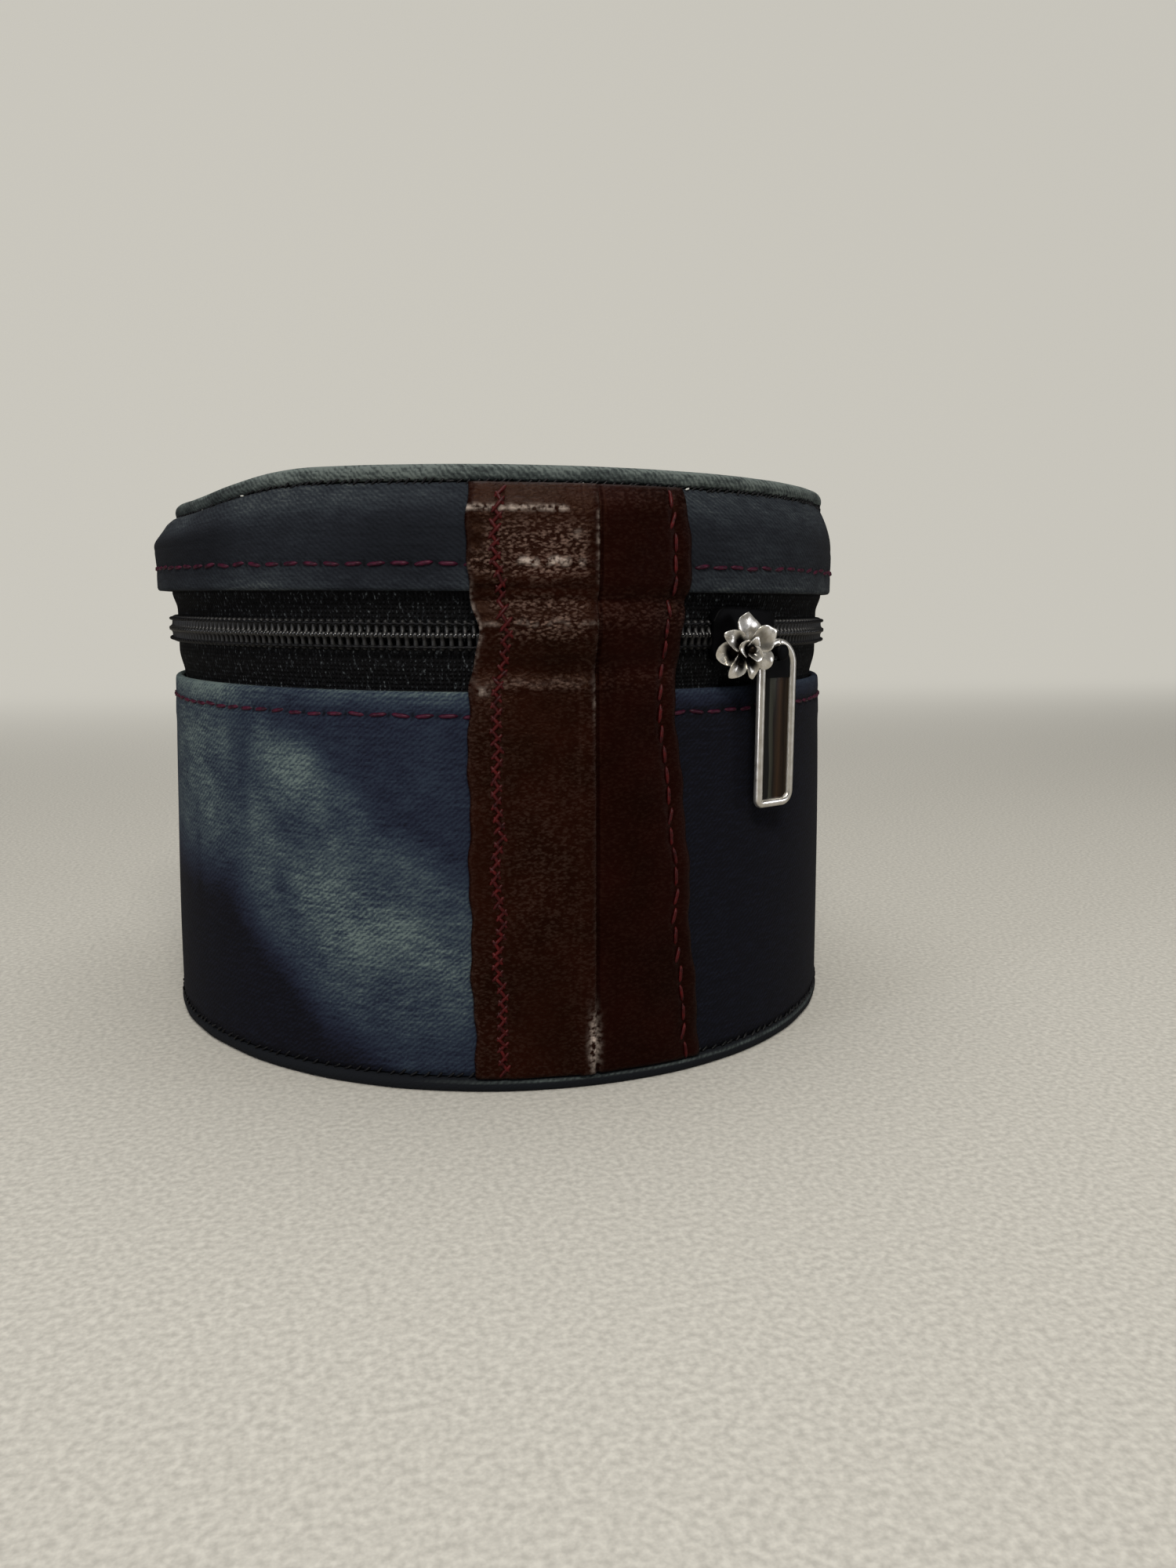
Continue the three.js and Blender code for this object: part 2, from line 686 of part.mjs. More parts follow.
// The front plate with its two flanges, which leave a channel for the coil, and the peg, which
// stands square to the slider's middle.
function sliderFront() {
  const channel = coilHalfHeight + slideGap;
  const flangeInner = chainTapeRadius + flangeGap;
  const plate = sliderPlateLoft((x) => {
    const half = Math.max(sliderHalf(x), channel + flangeWidth);
    return [
      [plateOuter - plateBevelDepth, chainZ - half],
      [plateOuter, chainZ - half + plateBevelWidth],
      [plateOuter, chainZ + half - plateBevelWidth],
      [plateOuter - plateBevelDepth, chainZ + half],
      [flangeInner, chainZ + half],
      [flangeInner, chainZ + channel],
      [plateInner, chainZ + channel],
      [plateInner, chainZ - channel],
      [flangeInner, chainZ - channel],
      [flangeInner, chainZ - half],
    ];
  });
  const neck = pegRoot + pullGap + pullThickness + pullPlay;
  const profile = [
    new THREE.Vector2(0, 0),
    new THREE.Vector2(pegRadius, 0),
    new THREE.Vector2(pegRadius, neck),
    new THREE.Vector2(pegHeadRadius, neck),
    new THREE.Vector2(pegHeadRadius, neck + pegHeadHeight - pegHeadBevel),
    new THREE.Vector2(pegHeadRadius - pegHeadBevel, neck + pegHeadHeight),
    new THREE.Vector2(0, neck + pegHeadHeight),
  ];
  const peg = new THREE.LatheGeometry(profile, 12).rotateX(Math.PI);
  peg.translate(pegAside, -(pegDepth - pegRoot), pegZ);
  return fromManifold(toManifold(plate).add(toManifold(peg)));
}

function sliderBack() {
  return sliderPlateLoft((x) => {
    const half = sliderHalf(x) - backPlateInset;
    return [
      [backPlateOuter, chainZ - half],
      [backPlateOuter, chainZ + half],
      [backPlateInner, chainZ + half],
      [backPlateInner, chainZ - half],
    ];
  });
}

// One petal: a round flat disc, tilted outwards from the flower's axis, which is -Y.
function petal(radius, reach, lift, tilt, turn) {
  const disc = new THREE.SphereGeometry(radius, 8, 6);
  disc.scale(1, petalThickness / (2 * radius), 1);
  disc.rotateX(THREE.MathUtils.degToRad(-tilt));
  disc.translate(0, -(stemHeight + lift), reach);
  return disc.rotateY(THREE.MathUtils.degToRad(turn));
}

// A stem, a ring of open petals, a ring of steeper ones and the bud, all cast in one.
function flowerOrnament() {
  const stem = new THREE.CylinderGeometry(stemRadius, stemRadius, stemHeight + outerPetalLift, 12);
  stem.translate(0, -(stemHeight + outerPetalLift) / 2, 0);
  const outerReach = flowerRadius - outerPetalRadius * Math.cos(THREE.MathUtils.degToRad(outerPetalTilt));
  const ring = (count, start, ...sizes) =>
    Array.from({ length: count }, (_, k) => petal(...sizes, start + (k * fullTurn) / count));
  const outer = ring(outerPetals, 0, outerPetalRadius, outerReach, outerPetalLift, outerPetalTilt);
  const halfStep = fullTurn / (2 * outerPetals);
  const inner = ring(
    innerPetals, halfStep, innerPetalRadius, innerPetalReach, innerPetalLift, innerPetalTilt,
  );
  const bud = new THREE.SphereGeometry(budRadius, 8, 5).translate(0, -(stemHeight + budLift), 0);
  const cast = [...outer, ...inner, bud].map(toManifold);
  return fromManifold(cast.reduce((whole, next) => whole.add(next), toManifold(stem)));
}

// An upright outline with a full round top and rounded bottom corners.
function pullOutline(halfWidth, top, foot, topRadius, cornerRadius) {
  const shape = new THREE.Shape();
  shape.moveTo(-halfWidth, foot + cornerRadius);
  shape.lineTo(-halfWidth, top - topRadius);
  shape.absarc(-halfWidth + topRadius, top - topRadius, topRadius, Math.PI, Math.PI / 2, true);
  shape.lineTo(halfWidth - topRadius, top);
  shape.absarc(halfWidth - topRadius, top - topRadius, topRadius, Math.PI / 2, 0, true);
  shape.lineTo(halfWidth, foot + cornerRadius);
  shape.absarc(halfWidth - cornerRadius, foot + cornerRadius, cornerRadius, 0, -Math.PI / 2, true);
  shape.lineTo(-halfWidth + cornerRadius, foot);
  shape.absarc(-halfWidth + cornerRadius, foot + cornerRadius, cornerRadius, -Math.PI / 2, -Math.PI, true);
  return shape;
}

function plateOf(shape, depth) {
  const settings = { depth, bevelEnabled: false, curveSegments: 6 };
  return new THREE.ExtrudeGeometry(shape, settings).rotateX(Math.PI / 2);
}

// The pull in its own frame: the peg's axis at the origin, +X along the zip, -Y outwards.
function pullTab() {
  const foot = pullTopAbovePeg - pullLength;
  const half = pullWidth / 2;
  const outline = pullOutline(half, pullTopAbovePeg, foot, half, pullCornerRadius);
  const blank = plateOf(outline, pullThickness);
  const eyeRadius = pegRadius + pullEyePlay;
  const eye = new THREE.Shape();
  eye.absarc(0, 0, eyeRadius, 0, Math.PI, false);
  eye.absarc(0, -pullEyeDrop, eyeRadius, Math.PI, 2 * Math.PI, false);
  const drill = plateOf(eye, 3 * pullThickness).translate(0, pullThickness, 0);
  const recessTop = -pullEyeDrop - eyeRadius - pullEyeBridge;
  const inset = half - pullRim;
  const innerCorner = pullCornerRadius - pullRim;
  const recessShape = pullOutline(inset, recessTop, foot + pullRim, innerCorner, innerCorner);
  const recess = plateOf(recessShape, pullThickness);
  recess.translate(0, -(pullThickness - pullRecess), 0);
  const cut = toManifold(blank).subtract(toManifold(drill)).subtract(toManifold(recess));
  return fromManifold(cut);
}

// Assembly
const body = new THREE.Group();
const bottomBoardRadius = baseRimRadius - discDenim - discGap;
body.add(piece('bottom_denim', discCover(0, 1, baseRimRadius, baseTurnIn), fadedDenim));
body.add(piece('bottom_board', disc(bottomBoardRadius, discDenim + discGap, discBoardTop), board));
body.add(piece('body_denim', bodyDenim(), denim));
body.add(piece('body_padding', bodyPadding(), wadding));
body.add(piece('body_board', bodyBoard(), board));
body.add(piece('body_lining', bodyLining(), lining));
body.add(piece('floor_pad', pad(liningInner - layerGap, boardFootZ, 1), lining));
body.add(piece('zip_tape_lower', lowerTape(), tapeCloth));
body.add(piece('zip_coil_lower', coilRow(-1, zipEnd, fullTurn - zipEnd), nylon));

const leatherHemZ = hemTopZ - leatherBelowHem;
const leatherLidZ = lidEdgeZ + leatherAboveEdge;
const leatherPieces = { left: leftLeatherSection, right: rightLeatherSection };
for (const [side, section] of Object.entries(leatherPieces)) {
  const base = leatherStretch(section, wallFootZ, leatherHemZ, 4);
  const hinge = leatherStretch(section, leatherHemZ + hingeGap, leatherLidZ - hingeGap, 6);
  body.add(piece(`leather_${side}_base`, base, leather));
  body.add(piece(`leather_${side}_hinge`, hinge, leather));
}
body.add(piece('hinge_lining', hingeLining(), lining));

const lid = new THREE.Group();
const topZ = topSeamZ + rimHeight;
const topBoardFoot = topZ - discBoardTop;
const topBoardRadius = topRimRadius - discDenim - discGap;
lid.add(piece('top_denim', discCover(topZ, -1, topRimRadius, topTurnIn), fadedDenim));
lid.add(piece('top_board', disc(topBoardRadius, topBoardFoot, topBoardFoot + discBoard), board));
lid.add(piece('lid_denim', lidDenim(), denim));
lid.add(piece('lid_padding', lidPadding(), wadding));
lid.add(piece('lid_board', lidBoard(), board));
lid.add(piece('lid_lining', lidLining(), lining));
lid.add(piece('ceiling_pad', pad(lidLiningInner - layerGap, topBoardFoot - layerGap, -1), lining));
const stretches = {
  upper: [freeTapeRight + endGap, fullTurn - freeTapeLeft - endGap],
  right_end: [zipEnd, freeTapeRight],
  left_end: [fullTurn - freeTapeLeft, fullTurn - zipEnd],
};
for (const [name, [from, to]] of Object.entries(stretches)) {
  lid.add(piece(`zip_tape_${name}`, upperTape(from, to), tapeCloth));
  lid.add(piece(`zip_coil_${name}`, coilRow(1, from, to), nylon));
}
for (const [side, section] of Object.entries(leatherPieces)) {
  const top = leatherStretch(section, leatherLidZ, lidWallTopZ, 5);
  lid.add(piece(`leather_${side}_lid`, top, leather));
}

const slider = new THREE.Group();
slider.rotation.z = THREE.MathUtils.degToRad(sliderAngle);
slider.add(piece('slider_front', sliderFront(), enamel));
slider.add(piece('slider_back', sliderBack(), enamel));
const flower = piece('flower_ornament', flowerOrnament(), nickel);
flower.position.set(0, -(plateOuter + layerGap), flowerZ);
slider.add(flower);

const pullGroup = new THREE.Group();
pullGroup.rotation.z = THREE.MathUtils.degToRad(sliderAngle);
const pull = piece('pull_tab', pullTab(), nickel);
pull.position.set(pegAside, -(pegDepth + pullGap), pegZ);
pullGroup.add(pull);

const jewelryCase = new THREE.Group();
jewelryCase.add(body, lid, slider, pullGroup);

export default jewelryCase;
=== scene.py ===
"""Looks of a round jewelry case: denim walls, a coil zip round the middle, a leather strap
down the back that is the lid's hinge, and a flower slider with a long pull."""

import json

import bpy
import numpy as np
from mathutils import Matrix, Vector

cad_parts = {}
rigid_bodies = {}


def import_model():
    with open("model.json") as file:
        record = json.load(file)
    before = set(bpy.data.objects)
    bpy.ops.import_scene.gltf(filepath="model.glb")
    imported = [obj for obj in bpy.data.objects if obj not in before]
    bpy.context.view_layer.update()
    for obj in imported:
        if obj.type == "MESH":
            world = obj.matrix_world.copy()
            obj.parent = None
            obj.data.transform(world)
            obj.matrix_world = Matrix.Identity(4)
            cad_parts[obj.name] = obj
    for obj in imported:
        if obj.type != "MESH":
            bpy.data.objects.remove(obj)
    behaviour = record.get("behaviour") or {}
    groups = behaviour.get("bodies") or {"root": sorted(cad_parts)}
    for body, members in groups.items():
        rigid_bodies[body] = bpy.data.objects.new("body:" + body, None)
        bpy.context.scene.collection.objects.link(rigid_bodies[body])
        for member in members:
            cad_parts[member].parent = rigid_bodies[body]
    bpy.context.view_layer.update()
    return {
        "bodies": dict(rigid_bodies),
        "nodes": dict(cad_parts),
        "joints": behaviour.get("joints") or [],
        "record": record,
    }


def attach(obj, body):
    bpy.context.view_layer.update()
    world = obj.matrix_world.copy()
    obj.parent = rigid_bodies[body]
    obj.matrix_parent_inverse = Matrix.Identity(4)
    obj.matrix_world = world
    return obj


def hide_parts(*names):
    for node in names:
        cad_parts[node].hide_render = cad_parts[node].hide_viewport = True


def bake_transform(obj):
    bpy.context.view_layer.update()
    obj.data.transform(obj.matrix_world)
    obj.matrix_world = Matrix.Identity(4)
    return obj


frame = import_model()

MM = 0.001

# Sizes of the object in mm, as the frame has them
HEM_TOP, HEM_RADIUS, FOOT_SPREAD = 75.0, 75.0, 1.6
DENIM, HEM_DEPTH, LAYER_GAP = 0.8, 9.0, 0.3
WALL_FOOT, RIM_HEIGHT, RIM_COVER = 2.9, 2.6, 0.6
BASE_RIM_RADIUS, BASE_TURN_IN = 77.0, 4.0
TOP_RIM_RADIUS, TOP_TURN_IN = 74.5, 3.6
CHAIN = 85.1
LID_EDGE, LID_RADIUS, LID_SHOULDER = 93.0, 77.0, 103.0
TOP_SEAM, CROWN_DRAW, CROWN_POWER = 112.2, 3.1, 1.8
TOP_FACE = TOP_SEAM + RIM_HEIGHT
TAPE, TAPE_WIDTH, TAPE_MEET = 0.6, 16.0, 0.3
HEM_TAPE_RADIUS, CHAIN_TAPE_RADIUS, LID_TAPE_RADIUS = 73.1, 74.1, 75.1
LOWER_BULGE, UPPER_BULGE = 5.5, 3.9
COIL_INNER, COIL_OUTER, COIL_HALF = 74.4, 76.0, 2.8
TOOTH_PITCH = 1.65
ZIP_END = np.radians(10.99)
FREE_LEFT, FREE_RIGHT = np.radians(30.16), np.radians(34.70)
STRAP_RADIUS, STRAP_HALF = 76.3, 20.6
LEATHER, STRAP_SEAM, LAP = 1.2, 2.4, 2.5
PLATE_INNER, PLATE_OUTER = 76.3, 77.3
SLIDER_ANGLE = np.radians(23.877)
FLOWER_Z, PEG_Z = 82.4, 81.6
PEG_ASIDE, PEG_DEPTH = 10.864, 76.533

# The lid's hinge, where the leather and the zip's ends bend between the two bodies
LEATHER_BEND = ((0, -0.0765, 0.0745), (0, -0.0765, 0.0935))
ZIP_BEND = ((0, -0.0738, 0.0847), (0, -0.07106, 0.08573))


def smooth(x):
    """3x^2 - 2x^3 between 0 and 1, flat outside."""
    x = np.clip(x, 0, 1)
    return x * x * (3 - 2 * x)


def bell(x, middle, width):
    """A bell curve of height 1: e to the minus square of the distance in widths."""
    return np.exp(-(((x - middle) / width) ** 2))


def drum(angle, radius, z):
    """Points round the drum's axis: (r sin a, -r cos a, z), the angle running from -Y to +X."""
    angle, radius, z = np.broadcast_arrays(angle, radius, z)
    return np.stack([radius * np.sin(angle), -radius * np.cos(angle), z], axis=-1)


def ripple(angle, z, seed, turns=(2, 9), tall=60.0, waves=7):
    """A sum of waves that run a whole number of times round the drum and lean with height,
    divided by their number."""
    draw = np.random.default_rng(seed)
    total = 0
    for _ in range(waves):
        count = draw.integers(*turns)
        lean = draw.uniform(-1, 1) * 2 * np.pi / tall
        total = total + np.sin(count * angle + lean * z + draw.uniform(0, 2 * np.pi))
    return total / waves


def body_radius(z):
    """Outer face of the body's denim: the hem's radius plus the spread times 1 - (z/top)^2."""
    return HEM_RADIUS + FOOT_SPREAD * (1 - (z / HEM_TOP) ** 2)


def lid_radius(z):
    """Outer face of the lid's denim: upright, then drawn in by a power of the height."""
    rise = np.clip((z - LID_SHOULDER) / (TOP_SEAM - LID_SHOULDER), 0, 1)
    return LID_RADIUS - CROWN_DRAW * rise**CROWN_POWER


def slack_side(angle):
    """1 where the lid's left side has given way, easing to 0 round the drum."""
    turned = np.degrees((angle + np.pi) % (2 * np.pi) - np.pi)
    return smooth((-turned - 38) / 34) * smooth((turned + 150) / 50)


SLUMP_DOWN, SLUMP_IN, SLUMP_BULGE = 3.8, 0.9, 0.45


def slumped(points):
    """Points of the lid in mm, let down where its left shoulder has given way: lower at the
    rim, drawn in there, and pushed out below it, easing out downwards and inwards."""
    place = slack_side(np.arctan2(points[..., 0], -points[..., 1]))
    high = smooth((points[..., 2] - 99) / 12)
    reach = np.hypot(points[..., 0], points[..., 1])
    wide = smooth((reach - 30) / 42)
    pushed = SLUMP_BULGE * bell(points[..., 2], 105.0, 3.6)
    pushed = pushed - SLUMP_IN * smooth((points[..., 2] - 110.5) / 2)
    moved = points * (1 + (place * wide * pushed / np.maximum(reach, 1))[..., None] * [1, 1, 0])
    moved[..., 2] -= SLUMP_DOWN * place * high * wide
    return moved


def tape_radius(z, lower):
    """Outer face of a tape: at its hem's radius, easing to the chain's radius in the gap."""
    out = smooth((z - HEM_TOP) / LOWER_BULGE)
    up = smooth((z - (LID_EDGE - UPPER_BULGE)) / UPPER_BULGE)
    if lower:
        return HEM_TAPE_RADIUS + (CHAIN_TAPE_RADIUS - HEM_TAPE_RADIUS) * out
    return CHAIN_TAPE_RADIUS + (LID_TAPE_RADIUS - CHAIN_TAPE_RADIUS) * up


def make_mesh(name, points, faces, uv=None, marks=None, sharp=None):
    """Points in mm and faces as a mesh in metres, turned outwards by its signed volume.
    uv holds one pair in mm a face corner, marks one number a point."""
    mesh = bpy.data.meshes.new(name)
    points = np.asarray(points, float).reshape(-1, 3) * MM
    mesh.from_pydata(points.tolist(), [], faces)
    if uv is not None:
        layer = mesh.uv_layers.new(name="cloth")
        layer.data.foreach_set("uv", np.asarray(uv, np.float32).ravel())
    for mark, values in (marks or {}).items():
        attribute = mesh.attributes.new(mark, "FLOAT", "POINT")
        attribute.data.foreach_set("value", np.asarray(values, np.float32).ravel())
    mesh.calc_loop_triangles()
    corners = np.empty(len(mesh.loop_triangles) * 3, np.int32)
    mesh.loop_triangles.foreach_get("vertices", corners)
    p, q, r = points[corners].reshape(-1, 3, 3).transpose(1, 0, 2)
    if np.sum(p * np.cross(q, r)) < 0:
        mesh.flip_normals()
    mesh.shade_smooth()
    if sharp is not None:
        mesh.set_sharp_from_angle(angle=np.radians(sharp))
    mesh.update()
    return mesh


def grid_mesh(name, grid, uv=None, wrap_rows=False, wrap_columns=False, marks=None, sharp=None):
    """Quads on a grid of points. A grid that isn't wrapped along its rows is closed there by a
    flat face on its first and last ring of columns. uv has the grid's size, one more where it
    wraps, so that a pattern runs on over the join."""
    rows, columns = grid.shape[:2]
    i, j = np.meshgrid(
        np.arange(rows if wrap_rows else rows - 1),
        np.arange(columns if wrap_columns else columns - 1),
        indexing="ij",
    )
    corners = [(i, j), (i, j + 1), (i + 1, j + 1), (i + 1, j)]
    quads = np.stack([(a % rows) * columns + b % columns for a, b in corners], -1).reshape(-1, 4)
    faces = quads.tolist()
    pairs = None
    if uv is not None:
        pairs = np.stack([uv[a, b] for a, b in corners], -2).reshape(-1, 2)
    if not wrap_rows:
        first = np.arange(columns)[::-1]
        faces += [first.tolist(), ((rows - 1) * columns + np.arange(columns)).tolist()]
        if uv is not None:
            pairs = np.concatenate([pairs, uv[0, first], uv[rows - 1, :columns]])
    return make_mesh(name, grid, faces, pairs, marks, sharp)


def joined(grids):
    """Several closed grids of one size as one grid's points and faces, for repeated shapes.
    Columns wrap, and the first and last ring are closed by flat faces."""
    grids = np.asarray(grids)
    count, rows, columns = grids.shape[:3]
    i, j = np.meshgrid(np.arange(rows - 1), np.arange(columns), indexing="ij")
    corners = [(i, j), (i, j + 1), (i + 1, j + 1), (i + 1, j)]
    quads = np.stack([a * columns + b % columns for a, b in corners], -1).reshape(-1, 4)
    shift = (np.arange(count) * rows * columns)[:, None, None]
    faces = (quads[None] + shift).reshape(-1, 4).tolist()
    ends = np.stack([np.arange(columns)[::-1], (rows - 1) * columns + np.arange(columns)])
    faces += (ends[None] + shift).reshape(-1, columns).tolist()
    return grids.reshape(-1, 3), faces


def show(mesh, material, body, replaced=(), bend=None):
    """The mesh as a piece: its material, the body that it rides on, left unattached where a bend
    is given, and the nodes that it stands for."""
    piece = bpy.data.objects.new(mesh.name, mesh)
    bpy.context.scene.collection.objects.link(piece)
    mesh.materials.append(material)
    if bend:
        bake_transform(piece)
    else:
        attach(piece, body)
    if replaced:
        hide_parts(*replaced)
    return piece


# ---------------------------------------------------------------- materials


def linear(code):
    """An sRGB hex colour as linear red, green, blue and alpha."""
    c = np.array([int(code[k : k + 2], 16) / 255 for k in (0, 2, 4)])
    c = np.where(c <= 0.04045, c / 12.92, ((c + 0.055) / 1.055) ** 2.4)
    return (*c.tolist(), 1.0)


def add(tree, kind, inputs=None, stops=None, **settings):
    """A new node of a kind, with its settings. An input given as a socket is linked, and any
    other is set. stops are a colour ramp's places and colours."""
    node = tree.nodes.new("ShaderNode" + kind)
    for name, value in settings.items():
        setattr(node, name, value)
    for name, value in (inputs or {}).items():
        if isinstance(value, bpy.types.NodeSocket):
            tree.links.new(value, node.inputs[name])
        else:
            node.inputs[name].default_value = value
    if stops:
        ramp = node.color_ramp
        while len(ramp.elements) < len(stops):
            ramp.elements.new(0.5)
        for element, (place, code) in zip(ramp.elements, stops):
            element.position = place
            element.color = linear(code)
    return node


def start_material(name):
    """An empty node material and its tree."""
    material = bpy.data.materials.new(name)
    material.use_nodes = True
    material.node_tree.nodes.clear()
    return material, material.node_tree


def finish_material(tree, inputs):
    """The surface shader with its inputs, on the material's output."""
    shader = add(tree, "BsdfPrincipled", inputs)
    add(tree, "OutputMaterial", {"Surface": shader.outputs[0]})


def band_scale(period):
    """The wave texture's scale for a period in mm: it turns 20 times the scale a unit."""
    return 2 * np.pi / (20 * period)


def washed_denim(name, tones):
    """Cotton twill, indigo-dyed and washed: fine slanted ribs, level streaks and specks of
    pale weft that show more the more the dye is worn off, in clouds. The ribs are drawn 0.8 mm
    apart, coarser than the threads."""
    material, tree = start_material(name)
    cloth = add(tree, "UVMap", uv_map="cloth").outputs[0]
    turned = add(tree, "Mapping", {"Vector": cloth, "Rotation": (0, 0, np.radians(52))})
    twill = add(tree, "TexWave", {
        "Vector": turned.outputs[0], "Scale": band_scale(0.8), "Distortion": 5.0,
        "Detail": 2.0, "Detail Scale": 1.6,
    })
    level = add(tree, "Mapping", {"Vector": cloth, "Scale": (0.22, 1.5, 1)})
    weft = add(tree, "TexNoise", {
        "Vector": level.outputs[0], "Scale": 1.0, "Detail": 4.0, "Roughness": 0.6,
    })
    specks = add(tree, "TexNoise", {
        "Vector": cloth, "Scale": 1.5, "Detail": 3.0, "Roughness": 0.75,
    })
    clouds = add(tree, "TexNoise", {
        "Vector": cloth, "Scale": 0.075, "Detail": 7.0, "Roughness": 0.66,
    })
    # The wear mark: how far the dye is worn, with painted light added on the lid's crown and the
    # discs' rims
    wear = add(tree, "Attribute", attribute_name="wear").outputs["Fac"]
    ribs = add(tree, "Math", {0: twill.outputs["Fac"], 1: 0.2, 2: -0.85}, operation="MULTIPLY_ADD")
    lines = add(tree, "Math", {
        0: weft.outputs[0], 1: 0.8, 2: ribs.outputs[0],
    }, operation="MULTIPLY_ADD")
    weave = add(tree, "Math", {
        0: specks.outputs[0], 1: 0.7, 2: lines.outputs[0],
    }, operation="MULTIPLY_ADD")
    shows = add(tree, "Math", {0: wear, 1: 1.3, 2: 0.3}, operation="MULTIPLY_ADD")
    drift = add(tree, "MapRange", {
        "Value": clouds.outputs[0], "From Min": 0.3, "From Max": 0.7,
        "To Min": 0.65, "To Max": 1.35,
    })
    faded = add(tree, "Math", {0: wear, 1: drift.outputs[0]}, operation="MULTIPLY")
    tone = add(tree, "Math", {
        0: weave.outputs[0], 1: shows.outputs[0], 2: faded.outputs[0],
    }, operation="MULTIPLY_ADD")
    dyed = add(tree, "ValToRGB", {"Fac": tone.outputs[0]}, stops=tones)
    # Needle holes darkened to 040406: a painted shade
    needle_hole_shade = add(tree, "Attribute", attribute_name="hole_shade").outputs["Fac"]
    final = add(tree, "Mix", {
        "Factor": needle_hole_shade, "A": dyed.outputs[0], "B": linear("040406"),
    }, data_type="RGBA")
    relief = add(tree, "Bump", {
        "Height": weave.outputs[0], "Strength": 0.5, "Distance": 0.0003,
    })
    finish_material(tree, {
        "Base Color": final.outputs["Result"], "Roughness": 0.85, "Normal": relief.outputs[0],
        "Sheen Weight": 0.01, "Specular IOR Level": 0.08,
    })
    return material


def glazed_leather(name, deep, warm, pale, gleam, grain, gloss, shine):
    """Cowhide, pigmented and glazed: pebbles about 0.6 mm across in slanting rows with fine
    wrinkles between them, a glossy top coat, and tone that rubs lighter on the raised grain,
    there partly a painted glint. Scuffs are drawn pale, with painted highlight lines among them."""
    material, tree = start_material(name)
    hide = add(tree, "UVMap", uv_map="cloth").outputs[0]
    stretched = add(tree, "Mapping", {
        "Vector": hide, "Rotation": (0, 0, np.radians(-38)), "Scale": (0.75, 1.3, 1),
    }).outputs[0]
    pebbles = add(tree, "TexVoronoi", {
        "Vector": stretched, "Scale": 1.65, "Randomness": 0.8,
    }, feature="SMOOTH_F1")
    wrinkles = add(tree, "TexNoise", {
        "Vector": stretched, "Scale": 1.9, "Detail": 4.0, "Roughness": 0.7,
    })
    clouds = add(tree, "TexNoise", {"Vector": hide, "Scale": 0.07, "Detail": 3.0})
    height = add(tree, "Math", {
        0: pebbles.outputs["Distance"], 1: -0.8, 2: wrinkles.outputs[0],
    }, operation="MULTIPLY_ADD")
    tone = add(tree, "ValToRGB", {"Fac": clouds.outputs[0]}, stops=[(0.36, deep), (0.66, warm)])
    # rubbed: the raised pebbles' share of pale, rubbed grain and painted glints
    rubbed = add(tree, "MapRange", {
        "Value": height.outputs[0], "From Min": 0.1, "From Max": 0.36, "To Max": grain,
    })
    # The flex mark: rubbed grain, partly painted glints on it
    flexed = add(tree, "Attribute", attribute_name="flex").outputs["Fac"]
    share = add(tree, "Math", {0: rubbed.outputs[0], 1: flexed}, operation="MULTIPLY")
    coloured = add(tree, "Mix", {
        "Factor": share.outputs[0], "A": tone.outputs[0], "B": linear(pale),
    }, data_type="RGBA")
    # The scuff mark: pale worn spots and painted highlight lines along the folds, drawn in A89A90
    scuff_and_highlight = add(tree, "Attribute", attribute_name="scuff_and_highlight").outputs["Fac"]
    breakup_noise = add(tree, "TexNoise", {"Vector": hide, "Scale": 0.9, "Detail": 4.0})
    broken = add(tree, "MapRange", {
        "Value": breakup_noise.outputs[0], "From Min": 0.4, "From Max": 0.66, "To Max": 1.0,
    })
    pale_marks_share = add(tree, "Math", {0: scuff_and_highlight, 1: broken.outputs[0]}, operation="MULTIPLY")
    final = add(tree, "Mix", {
        "Factor": pale_marks_share.outputs[0], "A": coloured.outputs["Result"], "B": linear("A89A90"),
    }, data_type="RGBA")
    depth = add(tree, "Math", {0: flexed, 1: 0.8 * grain, 2: 0.3 * grain}, operation="MULTIPLY_ADD")
    relief = add(tree, "Bump", {
        "Height": height.outputs[0], "Strength": depth.outputs[0], "Distance": 0.0005,
    })
    finish = add(tree, "MapRange", {
        "Value": wrinkles.outputs[0], "From Min": 0.3, "From Max": 0.7,
        "To Min": gloss - 0.05, "To Max": gloss + 0.08,
    })
    finish_material(tree, {
        "Base Color": final.outputs["Result"], "Roughness": finish.outputs[0],
        "Normal": relief.outputs[0], "Specular IOR Level": shine, "Specular Tint": linear(gleam),
    })
    return material


def sewing_thread(name, deep, bright):
    """Polyester sewing thread, twisted of plies: slanted ribs 0.35 mm apart and a soft sheen."""
    material, tree = start_material(name)
    place = add(tree, "TexCoord").outputs["Object"]
    plies = add(tree, "TexNoise", {"Vector": place, "Scale": 900.0, "Detail": 2.0})
    tone = add(tree, "ValToRGB", {"Fac": plies.outputs[0]}, stops=[(0.3, deep), (0.7, bright)])
    relief = add(tree, "Bump", {"Height": plies.outputs[0], "Strength": 0.5, "Distance": 0.0002})
    finish_material(tree, {
        "Base Color": tone.outputs[0], "Roughness": 0.45, "Normal": relief.outputs[0],
        "Specular IOR Level": 0.18,
    })
    return material


